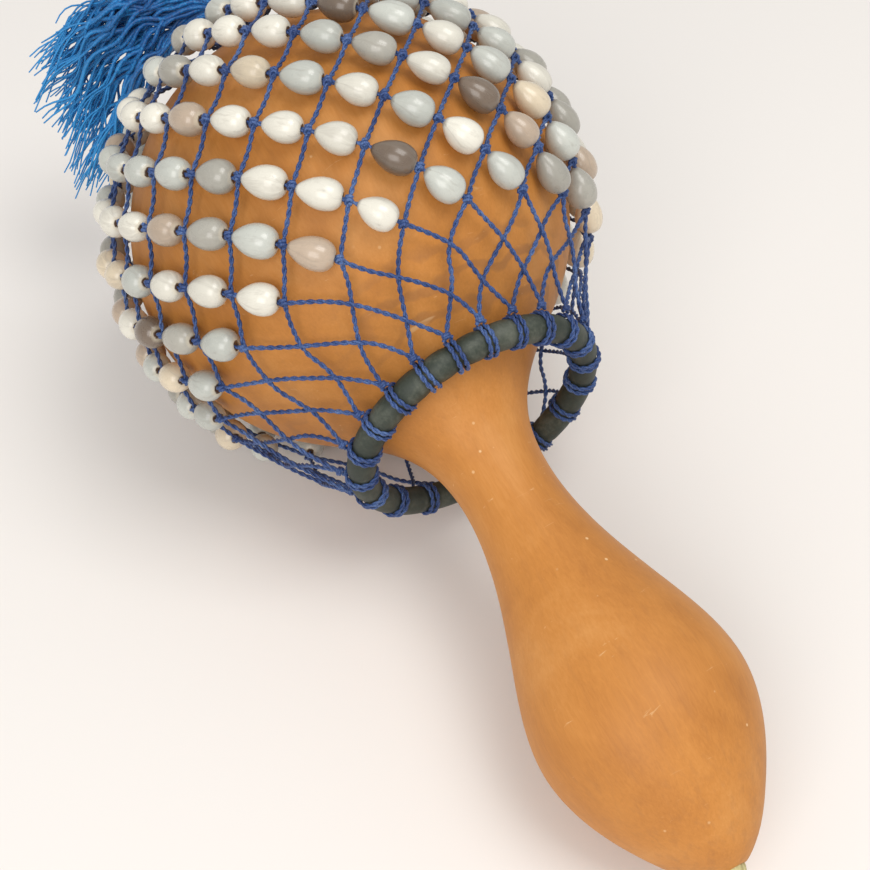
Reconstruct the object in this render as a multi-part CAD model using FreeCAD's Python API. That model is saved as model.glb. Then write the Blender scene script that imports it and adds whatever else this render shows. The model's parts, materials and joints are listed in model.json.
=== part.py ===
import FreeCAD, Part
import math
import os

from FreeCAD import Placement, Rotation, Vector

# Hand rattle made from a whole dried gourd inside a loose net strung with seed beads.
#
# The gourd lies on its side: its beaded bulb stands on the beads beneath it and its handle
# bulb touches the ground.  Everything is drawn in the gourd's own frame first (origin at
# the bulb's centre, +X along the axis to the handle, +Z away from the ground) and is then
# tipped and lowered onto the ground.  Lengths are in millimetres, angles in degrees.

# Gourd: distances past the bulb are counted from the front of the bulb's sphere.
BULB_RADIUS = 65.0
SHOULDER_ANGLE = 57.0
SHOULDER_SETBACK = 7.3
SHOULDER_RADIUS = 31.4
NECK_PAST_BULB = 12.9
NECK_TOP_RADIUS = 16.3
WAIST_PAST_BULB = 42.0
WAIST_RADIUS = 15.0
FLARE_PAST_BULB = 73.4
FLARE_RADIUS = 24.1
HANDLE_PAST_BULB = 101.0
HANDLE_RADIUS = 30.2
CROWN_PAST_BULB = 134.0
CROWN_RADIUS = 16.3
GOURD_PAST_BULB = 145.0
SHELL_WALL = 4.0
GOURD_END_TANGENT = (0.45, 0.0, -1.0)
STEM_RADIUS = 4.2
STEM_LENGTH = 4.5
STEM_WAIST = (0.6, 0.75)
STEM_TORN_RADIUS = 0.9
STEM_TORN_DEPTH = 0.8

# Loose seeds left inside the gourd.
SEED_COUNT = 12
SEED_LENGTH = 13.0
SEED_WIDTH = 6.5
SEED_THICKNESS = 2.2
SEED_GAP = 1.0

# Net: strings, beads and knots.
STRING_COUNT = 20
CORD_DIAMETER = 1.5
KNOT_RADIUS = 1.9
BEAD_LENGTH = 11.1
BEAD_DIAMETER = 8.9
BEAD_BORE_RADIUS = 0.9
BEAD_SWELL = ((0.05, 0.3), (0.13, 0.46), (0.24, 0.69), (0.46, 1.0), (0.74, 0.74), (0.93, 0.4))
BEAD_PITCH = 15.0
FIRST_ROW_ANGLE = 59.3
NET_CLEARANCE = 0.3
NET_SLIDE = 3.0
NET_DROOP = 4.5
DROOP_FACING = (0.55, 0.93)
LEG_SAG = 3.0
LEG_SAG_FACING = (0.35, 0.8)
CROSSING_LIFT = 4.2
BEND_SHARE = 0.45

# Collar: a bent hose whose two ends are butted over a dowel.
COLLAR_RING_RADIUS = 36.2
COLLAR_TUBE_RADIUS = 4.2
COLLAR_BORE_RADIUS = 2.8
COLLAR_TILT = 8.0
COLLAR_DROP = 1.4
COLLAR_SIDE_SHIFT = 3.6
COLLAR_SEAM_GAP = 0.3
DOWEL_CLEARANCE = 0.05
DOWEL_SWEEP = 30.0
LASHING_BUNCHING = 12.0
LASHING_CLEARANCE = 0.1
LASHING_STRAND_GAP = 0.2
LASHING_KNOT_ANGLE = 40.0

# Gathered cord ends and tassel.
BUNDLE_RADIUS = 5.6
BUNDLE_LENGTH = 5.2
BUNDLE_RIM_RADIUS = 10.9
BUNDLE_RIM_THICKNESS = 2.0
BUNDLE_GAP = 0.1
BINDING_TURNS = 3
TASSEL_KNOT_RADIUS = 5.5
TASSEL_DROOP = (-0.08, -0.82, -0.56)
TASSEL_FAN = (0.71, -0.07, -0.70)
TASSEL_LENGTHS = (1.0, 14.0, 36.0, 62.0)
TASSEL_HALF_WIDTHS = (2.8, 6.0, 10.0, 12.0)
TASSEL_HALF_DEPTHS = (3.0, 7.0, 17.0, 25.0)

CORD_RADIUS = CORD_DIAMETER / 2
BEAD_RADIUS = BEAD_DIAMETER / 2
BULB_HEIGHT = BULB_RADIUS + NET_CLEARANCE + BEAD_DIAMETER
AXIS = Vector(1, 0, 0)
ORIGIN = Vector(0, 0, 0)
OUTLINE_SAMPLES = 600
CLEARING_STEP = 0.05
COLLAR_STEP = 0.1
COLLAR_PROBE_ANGLE = 6


def polar(radius, angle):
    """Point (station, radius) of the bulb's meridian at an angle from the handle."""
    turn = math.radians(angle)
    return radius * math.cos(turn), radius * math.sin(turn)


def meridian(station, radius):
    """A point of the gourd's outline, drawn above the axis."""
    return Vector(station, 0, radius)


def around_axis(station, radius, angle):
    """A point at an angle about the gourd's axis, from the top towards +Y."""
    turn = math.radians(angle)
    return Vector(station, radius * math.sin(turn), radius * math.cos(turn))


def smooth(value, low, high):
    """Blend from 0 at low to 1 at high."""
    share = min(1.0, max(0.0, (value - low) / (high - low)))
    return share * share * (3 - 2 * share)


def outline_points():
    """Stations and radii that the gourd's outline passes through beyond the bulb."""
    return (
        polar(BULB_RADIUS, SHOULDER_ANGLE),
        (BULB_RADIUS - SHOULDER_SETBACK, SHOULDER_RADIUS),
        (BULB_RADIUS + NECK_PAST_BULB, NECK_TOP_RADIUS),
        (BULB_RADIUS + WAIST_PAST_BULB, WAIST_RADIUS),
        (BULB_RADIUS + FLARE_PAST_BULB, FLARE_RADIUS),
        (BULB_RADIUS + HANDLE_PAST_BULB, HANDLE_RADIUS),
        (BULB_RADIUS + CROWN_PAST_BULB, CROWN_RADIUS),
        (BULB_RADIUS + GOURD_PAST_BULB, STEM_RADIUS),
    )


def shoulder_tangent():
    """Direction of the bulb's meridian where the shoulder takes over from the sphere."""
    turn = math.radians(SHOULDER_ANGLE)
    return Vector(math.sin(turn), 0, -math.cos(turn))


def outer_curve():
    """Spline of the shoulder, neck and handle bulb."""
    points = [meridian(*point) for point in outline_points()]
    curve = Part.BSplineCurve()
    end = Vector(*GOURD_END_TANGENT)
    curve.interpolate(Points=points, InitialTangent=shoulder_tangent(), FinalTangent=end)
    return curve


def inner_curve(outer):
    """Spline of the cavity: the outline moved in by the wall, closed on the axis."""
    points = []
    for place in outline_points()[:-1]:
        point = meridian(*place)
        parameter = outer.parameter(point)
        along = outer.tangent(parameter)[0]
        inward = Vector(along.z, 0, -along.x)
        points.append(point + inward * SHELL_WALL)
    points.append(meridian(BULB_RADIUS + GOURD_PAST_BULB - SHELL_WALL, 0))
    curve = Part.BSplineCurve()
    curve.interpolate(Points=points, InitialTangent=shoulder_tangent(), FinalTangent=Vector(0, 0, -1))
    return curve


def bulb_arc(radius):
    """Meridian of the bulb from its pole to the shoulder."""
    middle = polar(radius, (180 + SHOULDER_ANGLE) / 2)
    shoulder = polar(radius, SHOULDER_ANGLE)
    return Part.Arc(meridian(-radius, 0), meridian(*middle), meridian(*shoulder))


def revolved(edges):
    """Solid of revolution about the gourd's axis of a closed half outline."""
    return Part.Face(Part.Wire(edges)).revolve(ORIGIN, AXIS, 360)


def line(start, end):
    """Straight edge between two points."""
    return Part.LineSegment(start, end).toShape()


def gourd_solid(radius, curve):
    """Body bounded by a bulb of the given radius and the given neck curve."""
    end = curve.EndPoint
    edges = [bulb_arc(radius).toShape(), curve.toShape()]
    if end.z > 0:
        edges.append(line(end, meridian(end.x, 0)))
    edges.append(line(meridian(end.x, 0), meridian(-radius, 0)))
    return revolved(edges)


OUTER_CURVE = outer_curve()
OUTLINE = bulb_arc(BULB_RADIUS).discretize(OUTLINE_SAMPLES) + OUTER_CURVE.discretize(OUTLINE_SAMPLES)


def gap_to_gourd(point):
    """Distance from a point outside the gourd to its skin."""
    radius = math.hypot(point.y, point.z)
    return min(math.hypot(point.x - place.x, radius - place.z) for place in OUTLINE)


def inside_gourd(point):
    """Whether a point lies within the gourd's outline."""
    radius = math.hypot(point.y, point.z)
    nearest = min(OUTLINE, key=lambda place: abs(place.x - point.x))
    return radius < nearest.z


def too_near(point, gap):
    """Whether a point is inside the gourd or nearer to its skin than a gap."""
    return inside_gourd(point) or gap_to_gourd(point) < gap


def pushed_clear(point, gap):
    """The point, moved out from the axis until it stands a gap off the gourd's skin."""
    outward = Vector(0, point.y, point.z).normalize()
    while too_near(point, gap):
        point = point + outward * CLEARING_STEP
    return point


def lying_slope():
    """Slope of the axis at which the handle bulb just touches the ground."""
    handle = [place for place in OUTLINE if place.x > BULB_RADIUS + WAIST_PAST_BULB]
    low = 0.0
    high = 45.0
    while high - low > 1e-6:
        slope = (low + high) / 2
        turn = math.radians(slope)
        lowest = min(BULB_HEIGHT - p.x * math.sin(turn) - p.z * math.cos(turn) for p in handle)
        if lowest > 0:
            low = slope
        else:
            high = slope
    return low


SLOPE = lying_slope()
DOWN = Vector(math.sin(math.radians(SLOPE)), 0, -math.cos(math.radians(SLOPE)))


def height(point):
    """Height above the ground of a point in the gourd's frame."""
    return BULB_HEIGHT - point.dot(DOWN)


# Net lattice ----------------------------------------------------------------------------

STRING_STEP = 360.0 / STRING_COUNT
KNOT_REACH = math.hypot(BULB_RADIUS + NET_CLEARANCE + BEAD_RADIUS, BEAD_PITCH / 2)


def row_angles():
    """Polar angles of the knot rows, as far as the beads still fit side by side."""
    rows = [FIRST_ROW_ANGLE]
    while True:
        sideways = KNOT_REACH * math.sin(math.radians(rows[-1])) * math.radians(STRING_STEP / 2)
        onward = math.sqrt(BEAD_PITCH ** 2 - sideways ** 2)
        row = rows[-1] + math.degrees(onward / KNOT_REACH)
        middle = math.radians((row + rows[-1]) / 2)
        half_spacing = KNOT_REACH * math.sin(middle) * math.radians(STRING_STEP / 2)
        lane = 2 * half_spacing * onward / math.hypot(half_spacing, onward)
        if lane < BEAD_DIAMETER + NET_CLEARANCE:
            return rows
        rows.append(row)


ROWS = row_angles()


def lattice_direction(row, column):
    """Unit direction from the bulb's centre to a knot; each row is half a step further round."""
    station, radius = polar(1.0, ROWS[row])
    return around_axis(station, radius, STRING_STEP * (column - 0.5 + row / 2))


def knot_point(row, column):
    """Centre of a knot: off the bulb by half a bead, drooping underneath as far as the ground."""
    direction = lattice_direction(row, column)
    facing_down = direction.dot(DOWN)
    reach = KNOT_REACH + NET_SLIDE * max(0.0, -direction.x)
    reach += NET_DROOP * smooth(facing_down, *DROOP_FACING)
    if facing_down > 0:
        reach = min(reach, (BULB_HEIGHT - BEAD_RADIUS) / facing_down)
    return direction * reach


# Collar ---------------------------------------------------------------------------------

TILT_TURN = math.radians(COLLAR_TILT)
COLLAR_NORMAL = Vector(math.cos(TILT_TURN), 0, math.sin(TILT_TURN))
COLLAR_UP = Vector(-math.sin(TILT_TURN), 0, math.cos(TILT_TURN))
COLLAR_SIDE = Vector(0, 1, 0)


def collar_place(centre, angle, radius=COLLAR_RING_RADIUS):
    """Point of the collar's ring at an angle from its top towards +Y."""
    turn = math.radians(angle)
    return centre + (COLLAR_UP * math.cos(turn) + COLLAR_SIDE * math.sin(turn)) * radius


def collar_centre():
    """Centre of the ring when it hangs on the shoulder, one lashing cord away from the skin."""
    gap = COLLAR_TUBE_RADIUS + LASHING_CLEARANCE + CORD_DIAMETER + NET_CLEARANCE
    centre = Vector(BULB_RADIUS - SHOULDER_SETBACK, COLLAR_SIDE_SHIFT, -COLLAR_DROP)
    angles = range(0, 360, COLLAR_PROBE_ANGLE)
    while any(too_near(collar_place(centre, angle), gap) for angle in angles):
        centre = centre + Vector(COLLAR_STEP, 0, 0)
    return centre


COLLAR_CENTRE = collar_centre()


def lashing_angle(index):
    """Angle of a lashing on the ring; they bunch at the top, where the ring takes the load."""
    even = STRING_STEP * index
    return even - LASHING_BUNCHING * math.sin(math.radians(even))


def ring_frame(angle):
    """Outward and tangent directions of the ring at an angle."""
    outward = collar_place(ORIGIN, angle, 1.0)
    return outward, COLLAR_NORMAL.cross(outward)


def lashing_knot_point(index):
    """Centre of the small knot that closes a lashing, on the net's side of the hose."""
    angle = lashing_angle(index)
    outward, _ = ring_frame(angle)
    lean = math.radians(LASHING_KNOT_ANGLE)
    towards_net = outward * math.cos(lean) - COLLAR_NORMAL * math.sin(lean)
    reach = COLLAR_TUBE_RADIUS + LASHING_CLEARANCE + CORD_DIAMETER + KNOT_RADIUS
    return collar_place(COLLAR_CENTRE, angle) + towards_net * reach


# Cords ----------------------------------------------------------------------------------

def cord_run(start, end):
    """Straight stretch of cord."""
    return Part.makeCylinder(CORD_RADIUS, start.distanceToPoint(end), start, end - start)


def cord_pieces(points):
    """Straight runs and the tangent arcs between them along a route, end face to end face.

    Each arc takes a share of the shorter run on either side of its corner.
    """
    pieces = []
    start = points[0]
    for before, corner, after in zip(points, points[1:], points[2:]):
        arriving = (corner - before).normalize()
        leaving = (after - corner).normalize()
        turn = arriving.getAngle(leaving)
        setback = BEND_SHARE * min(before.distanceToPoint(corner), corner.distanceToPoint(after))
        radius = setback / math.tan(turn / 2)
        inward = (leaving - arriving).normalize()
        centre = corner + inward * math.hypot(radius, setback)
        arc_start = corner - arriving * setback
        section = Part.Face(Part.Wire(Part.Circle(arc_start, arriving, CORD_RADIUS).toShape()))
        pieces.append(cord_run(start, arc_start))
        pieces.append(section.revolve(centre, arriving.cross(leaving), math.degrees(turn)))
        start = corner + leaving * setback
    pieces.append(cord_run(start, points[-1]))
    return pieces


def ball(centre, radius=KNOT_RADIUS):
    """Knot, as a ball."""
    return Part.makeSphere(radius, centre)


def raised(point):
    """The point, lifted where a cord there would reach below the ground."""
    shortfall = CORD_DIAMETER - height(point)
    return point - DOWN * shortfall if shortfall > 0 else point


def leg_points(lashing, column, lift):
    """The two corners of a leg between a lashing and its knot in the last row.

    The lift carries one family of legs over the other where they cross.  Underneath, where
    there is no room outside, both families move in towards the gourd by the lift instead.
    """
    start = lashing_knot_point(lashing)
    end = knot_point(0, column)
    start_angle = lashing_angle(lashing)
    end_angle = STRING_STEP * (column - 0.5)
    shift = Vector(0, COLLAR_SIDE_SHIFT, -COLLAR_DROP)
    points = []
    for share in (1 / 3, 2 / 3):
        station = start.x + (end.x - start.x) * share
        start_radius = (start - shift - Vector(start.x, 0, 0)).Length
        end_radius = math.hypot(end.y, end.z)
        radius = start_radius + (end_radius - start_radius) * share
        point = around_axis(station, radius, start_angle + (end_angle - start_angle) * share)
        point = point + shift * (1 - share)
        underneath = smooth(point.dot(DOWN) / point.Length, *LEG_SAG_FACING)
        outward = Vector(0, point.y, point.z).normalize()
        point = point + DOWN * (LEG_SAG * underneath)
        point = point + outward * (lift - CROSSING_LIFT * underneath)
        points.append(raised(pushed_clear(point, NET_CLEARANCE + CORD_DIAMETER + lift)))
    return points


def tail_points(column, side):
    """Ends of a leg from the last bead row to the rim of the gathered bundle."""
    row = len(ROWS) - 1
    direction = lattice_direction(row, column)
    sideways = AXIS.cross(direction).normalize()
    start = knot_point(row, column) + sideways * (side * (CORD_RADIUS + LASHING_STRAND_GAP / 2))
    angle = STRING_STEP * (column - 0.5 + row / 2) - side * STRING_STEP / 4
    end = around_axis(-BUNDLE_START - BUNDLE_RIM_THICKNESS / 2, BUNDLE_RIM_RADIUS - CORD_RADIUS, angle)
    return start, end


BUNDLE_START = BULB_RADIUS + NET_CLEARANCE + NET_SLIDE + BUNDLE_GAP
BUNDLE_FILLET = BUNDLE_RIM_RADIUS - BUNDLE_RADIUS
BUNDLE_END = BUNDLE_START + BUNDLE_RIM_THICKNESS + BUNDLE_FILLET + BUNDLE_LENGTH
PIVOT_STATION = BUNDLE_END + TASSEL_KNOT_RADIUS + NET_CLEARANCE


# Pieces ---------------------------------------------------------------------------------

def make_gourd_shell():
    """Hollow gourd: bulb, neck and handle bulb in one skin."""
    outer = gourd_solid(BULB_RADIUS, OUTER_CURVE)
    cavity = gourd_solid(BULB_RADIUS - SHELL_WALL, inner_curve(OUTER_CURVE))
    return outer.cut(cavity)


def make_stem_stub():
    """Torn stump of the stem on the handle bulb."""
    start = BULB_RADIUS + GOURD_PAST_BULB
    waist_station, waist_radius = STEM_WAIST
    corners = (
        meridian(start, 0),
        meridian(start, STEM_RADIUS),
        meridian(start + STEM_LENGTH * waist_station, STEM_RADIUS * waist_radius),
        meridian(start + STEM_LENGTH, STEM_RADIUS * STEM_TORN_RADIUS),
        meridian(start + STEM_LENGTH - STEM_TORN_DEPTH, 0),
        meridian(start, 0),
    )
    return revolved(Part.makePolygon(corners).Edges)


def make_loose_seeds():
    """Flat dried seeds lying side by side in two rows along the bottom of the cavity."""
    seeds = []
    floor = BULB_RADIUS - SHELL_WALL
    for index in range(SEED_COUNT):
        column = index // 2 - (SEED_COUNT // 2 - 1) / 2
        side = 1 if index % 2 else -1
        along = column * (SEED_WIDTH + SEED_GAP) / floor
        across = side * (SEED_LENGTH + SEED_GAP) / 2 / floor
        seed = Part.makeSphere(1.0)
        shape = FreeCAD.Matrix()
        shape.scale(SEED_WIDTH / 2, SEED_LENGTH / 2, SEED_THICKNESS / 2)
        seed = seed.transformGeometry(shape)
        tilt = Rotation(Vector(0, 1, 0), -math.degrees(along))
        roll = Rotation(Vector(1, 0, 0), math.degrees(across))
        turned = roll.multiply(tilt)
        reach = floor - SEED_LENGTH ** 2 / 8 / floor - SEED_THICKNESS / 2 - NET_CLEARANCE
        lying = Placement(turned.multVec(Vector(0, 0, -reach)), turned)
        level = Placement(ORIGIN, Rotation(Vector(0, 1, 0), -SLOPE))
        seeds.append(placed(seed, level.multiply(lying)))
    return Part.makeCompound(seeds)


def make_collar_tube():
    """Hose bent into a ring, open by a hairline at its seam underneath."""
    hose = Part.makeTorus(COLLAR_RING_RADIUS, COLLAR_TUBE_RADIUS)
    bore = Part.makeTorus(COLLAR_RING_RADIUS, COLLAR_BORE_RADIUS)
    reach = COLLAR_RING_RADIUS + 2 * COLLAR_TUBE_RADIUS
    side = 4 * COLLAR_TUBE_RADIUS
    corner = Vector(0, -COLLAR_SEAM_GAP / 2, -side / 2)
    seam = Part.makeBox(reach, COLLAR_SEAM_GAP, side, corner)
    return on_collar(hose.cut(bore).cut(seam))


def make_collar_dowel():
    """Short bent dowel that joins the hose's two ends from inside."""
    radius = COLLAR_BORE_RADIUS - DOWEL_CLEARANCE
    dowel = Part.makeTorus(COLLAR_RING_RADIUS, radius, ORIGIN, Vector(0, 0, 1), 0, 360, DOWEL_SWEEP)
    dowel.rotate(ORIGIN, Vector(0, 0, 1), -DOWEL_SWEEP / 2)
    return on_collar(dowel)


def on_collar(shape):
    """A ring drawn flat about +Z with its seam at +X, set in the collar's place."""
    frame = FreeCAD.Matrix(
        -COLLAR_UP.x, COLLAR_SIDE.x, COLLAR_NORMAL.x, COLLAR_CENTRE.x,
        -COLLAR_UP.y, COLLAR_SIDE.y, COLLAR_NORMAL.y, COLLAR_CENTRE.y,
        -COLLAR_UP.z, COLLAR_SIDE.z, COLLAR_NORMAL.z, COLLAR_CENTRE.z,
        0, 0, 0, 1)
    return placed(shape, Placement(frame))


def make_bead():
    """Drop-shaped seed bead along +X from its blunt end, bored through for the cord."""
    blunt_end = meridian(-BEAD_LENGTH / 2, BEAD_BORE_RADIUS)
    pointed_end = meridian(BEAD_LENGTH / 2, BEAD_BORE_RADIUS)
    swell = [meridian((share - 0.5) * BEAD_LENGTH, radius * BEAD_RADIUS) for share, radius in BEAD_SWELL]
    outline = Part.BSplineCurve()
    outline.interpolate([blunt_end] + swell + [pointed_end])
    bore = line(pointed_end, blunt_end)
    return revolved([outline.toShape(), bore])


BEAD = make_bead()


def make_bead_string(index):
    """The beads on one string's beaded leg, blunt ends to the collar."""
    beads = []
    for row in range(len(ROWS) - 1):
        column = index - 1 - row
        start = knot_point(row, column)
        end = knot_point(row + 1, column - 1)
        beads.append(placed(BEAD, Placement((start + end) / 2, Rotation(AXIS, end - start))))
    return Part.makeCompound(beads)


def make_lashing(index):
    """Two strands round the hose and the small knot outside them."""
    angle = lashing_angle(index)
    _, tangent = ring_frame(angle)
    centre = collar_place(COLLAR_CENTRE, angle)
    loop_radius = COLLAR_TUBE_RADIUS + LASHING_CLEARANCE + CORD_RADIUS
    offset = tangent * (CORD_RADIUS + LASHING_STRAND_GAP / 2)
    pieces = [ball(lashing_knot_point(index))]
    for place in (centre - offset, centre + offset):
        pieces.append(Part.makeTorus(loop_radius, CORD_RADIUS, place, tangent))
    return pieces


def make_leg(index, column, lift):
    """Leg from a lashing's knot to a knot of the last row, ending on both knots' skins."""
    start = lashing_knot_point(index)
    end = knot_point(0, column)
    pieces = cord_pieces([start] + leg_points(index, column, lift) + [end])
    pieces[0] = pieces[0].cut(ball(start))
    pieces[-1] = pieces[-1].cut(ball(end))
    return pieces


def make_net_string(index):
    """One string, folded over the collar: a plain leg with its knots and a beaded leg."""
    plain_column = index + 2
    bead_column = index - 1
    last_row = len(ROWS) - 1
    pieces = make_lashing(index)
    pieces += make_leg(index, plain_column, 0.0)
    pieces += make_leg(index, bead_column, CROSSING_LIFT)
    for row in range(last_row):
        pieces.append(net_run(knot_point(row, plain_column), knot_point(row + 1, plain_column)))
        column = bead_column - row
        pieces.append(net_run(knot_point(row, column), knot_point(row + 1, column - 1)))
    pieces += [ball(knot_point(row, plain_column)) for row in range(last_row + 1)]
    pieces.append(tail_run(plain_column, 1))
    pieces.append(tail_run(bead_column - last_row, -1))
    return Part.makeCompound(pieces)


def net_run(start, end):
    """Straight cord between two knots of the net, ending on their skins."""
    return cord_run(start, end).cut(Part.makeCompound([ball(start), ball(end)]))


def tail_run(column, side):
    """Straight end of a leg, from the skin of its last knot to the bundle's rim."""
    knot = ball(knot_point(len(ROWS) - 1, column))
    return cord_run(*tail_points(column, side)).cut(Part.makeCompound([knot, BUNDLE]))


def make_cord_bundle():
    """All the cord ends drawn together at the pole: a flared rim closing to a round bundle."""
    rim_back = BUNDLE_START + BUNDLE_RIM_THICKNESS
    neck = rim_back + BUNDLE_FILLET
    middle = BUNDLE_FILLET * math.sqrt(0.5)
    arc = Part.Arc(
        meridian(-rim_back, BUNDLE_RIM_RADIUS),
        meridian(-neck + middle, BUNDLE_RIM_RADIUS - middle),
        meridian(-neck, BUNDLE_RADIUS))
    edges = [
        line(meridian(-BUNDLE_START, 0), meridian(-BUNDLE_START, BUNDLE_RIM_RADIUS)),
        line(meridian(-BUNDLE_START, BUNDLE_RIM_RADIUS), meridian(-rim_back, BUNDLE_RIM_RADIUS)),
        arc.toShape(),
        line(meridian(-neck, BUNDLE_RADIUS), meridian(-BUNDLE_END, BUNDLE_RADIUS)),
        line(meridian(-BUNDLE_END, BUNDLE_RADIUS), meridian(-BUNDLE_END, 0)),
        line(meridian(-BUNDLE_END, 0), meridian(-BUNDLE_START, 0)),
    ]
    return revolved(edges)


BUNDLE = make_cord_bundle()


def make_gather_binding():
    """Turns of cord whipped round the bundle."""
    ring_radius = BUNDLE_RADIUS + NET_CLEARANCE + CORD_RADIUS
    pitch = CORD_DIAMETER + LASHING_CLEARANCE
    middle = BUNDLE_END - BUNDLE_LENGTH / 2
    turns = []
    for turn in range(BINDING_TURNS):
        station = -middle + (turn - (BINDING_TURNS - 1) / 2) * pitch
        turns.append(Part.makeTorus(ring_radius, CORD_RADIUS, Vector(station, 0, 0), AXIS))
    return Part.makeCompound(turns)


def make_tassel_knot():
    """Ball knot that gathers the frayed ends."""
    return ball(Vector(-PIVOT_STATION, 0, 0), TASSEL_KNOT_RADIUS)


def make_tassel():
    """Envelope of the frayed strands: a flat fan that droops from the knot to one side."""
    pivot = Vector(-PIVOT_STATION, 0, 0)
    droop = Vector(*TASSEL_DROOP).normalize()
    thickness = droop.cross(Vector(*TASSEL_FAN)).normalize()
    spread = thickness.cross(droop)
    sections = []
    for length, half_width, half_depth in zip(TASSEL_LENGTHS, TASSEL_HALF_WIDTHS, TASSEL_HALF_DEPTHS):
        centre = pivot + droop * length
        ring = Part.Ellipse(centre + spread * half_depth, centre + thickness * half_width, centre)
        sections.append(Part.Wire(ring.toShape()))
    strands = Part.makeLoft(sections, True)
    return strands.cut(ball(pivot, TASSEL_KNOT_RADIUS + NET_CLEARANCE))


def all_pieces():
    """Every piece of the rattle in the gourd's frame, by node name."""
    pieces = {
        "gourd_shell": make_gourd_shell(),
        "stem_stub": make_stem_stub(),
        "loose_seeds": make_loose_seeds(),
        "collar_tube": make_collar_tube(),
        "collar_dowel": make_collar_dowel(),
        "cord_bundle": BUNDLE,
        "gather_binding": make_gather_binding(),
        "tassel_knot": make_tassel_knot(),
        "tassel_strands": make_tassel(),
    }
    for index in range(STRING_COUNT):
        pieces[f"net_string_{index + 1:02d}"] = make_net_string(index)
        pieces[f"bead_string_{index + 1:02d}"] = make_bead_string(index)
    return pieces


def laid_down(pieces):
    """The pieces tipped onto the ground and centred over the origin."""
    lying = Placement(Vector(0, 0, BULB_HEIGHT), Rotation(Vector(0, 1, 0), SLOPE))
    laid = {name: placed(shape, lying) for name, shape in pieces.items()}
    box = FreeCAD.BoundBox()
    for shape in laid.values():
        box.add(shape.optimalBoundingBox(False))
    centring = Placement(Vector(-box.Center.x, -box.Center.y, -box.ZMin), Rotation())
    return {name: placed(shape, centring) for name, shape in laid.items()}, centring.multiply(lying)


def placed(shape, placement):
    """A copy of a shape moved by a placement."""
    moved = shape.copy()
    moved.Placement = placement.multiply(moved.Placement)
    return moved


def main():
    """Write one STEP file per piece and print the places that the joints need."""
    os.makedirs("parts", exist_ok=True)
    laid, placement = laid_down(all_pieces())
    for name, shape in laid.items():
        shape.exportStep(f"parts/{name}.step")
    axis = placement.Rotation.multVec(AXIS)
    print("bulb centre", placement.multVec(ORIGIN))
    print("axis to the handle", axis, "slope", round(SLOPE, 3))
    print("tassel pivot", placement.multVec(Vector(-PIVOT_STATION, 0, 0)))
    print("collar centre", placement.multVec(COLLAR_CENTRE))
    print("knot rows", [round(row, 1) for row in ROWS])


if __name__ == "__main__":
    main()
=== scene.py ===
import json
import logging
import math
import random
from dataclasses import dataclass, field
from enum import Enum
from typing import Any, Iterable, Sequence

import bmesh
import bpy
from mathutils import Matrix, Quaternion, Vector
from mathutils.bvhtree import BVHTree


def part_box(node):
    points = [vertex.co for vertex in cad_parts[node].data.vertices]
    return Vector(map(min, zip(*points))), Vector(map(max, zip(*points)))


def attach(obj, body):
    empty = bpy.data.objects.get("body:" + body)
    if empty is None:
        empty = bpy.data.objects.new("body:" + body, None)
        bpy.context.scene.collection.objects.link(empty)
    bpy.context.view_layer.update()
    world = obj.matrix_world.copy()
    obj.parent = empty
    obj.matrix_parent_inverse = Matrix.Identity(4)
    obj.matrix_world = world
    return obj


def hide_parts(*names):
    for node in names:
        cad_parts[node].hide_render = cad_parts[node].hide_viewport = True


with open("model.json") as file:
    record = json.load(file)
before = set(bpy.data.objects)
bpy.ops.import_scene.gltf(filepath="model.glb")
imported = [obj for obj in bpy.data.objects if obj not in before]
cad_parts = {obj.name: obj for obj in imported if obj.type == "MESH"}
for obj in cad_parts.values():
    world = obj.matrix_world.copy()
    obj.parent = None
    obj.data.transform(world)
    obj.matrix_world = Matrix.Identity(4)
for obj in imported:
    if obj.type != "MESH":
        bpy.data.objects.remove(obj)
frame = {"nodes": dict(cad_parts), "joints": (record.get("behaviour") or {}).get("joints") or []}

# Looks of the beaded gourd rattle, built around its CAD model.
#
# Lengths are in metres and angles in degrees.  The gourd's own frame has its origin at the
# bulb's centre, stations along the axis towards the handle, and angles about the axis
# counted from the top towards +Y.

LOG = logging.getLogger("rattle")

# Dark, middle and light tints of the blue cord and of the tassel's yarn, and how many fibres of each lie in a
# metre across.
# The dark tint is painted shade in the fibres' grooves; the light tint is painted highlight on their ridges,
# and also the paler colour of the tassel's strand ends.
CORD_BLUES = ((0.006, 0.014, 0.065), (0.022, 0.062, 0.215), (0.11, 0.20, 0.42))
CORD_FIBRES = 2400.0
YARN_BLUES = ((0.002, 0.022, 0.10), (0.004, 0.095, 0.32), (0.02, 0.29, 0.66))
YARN_FIBRES = 1500.0


# Shader maths -----------------------------------------------------------------------------

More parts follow.
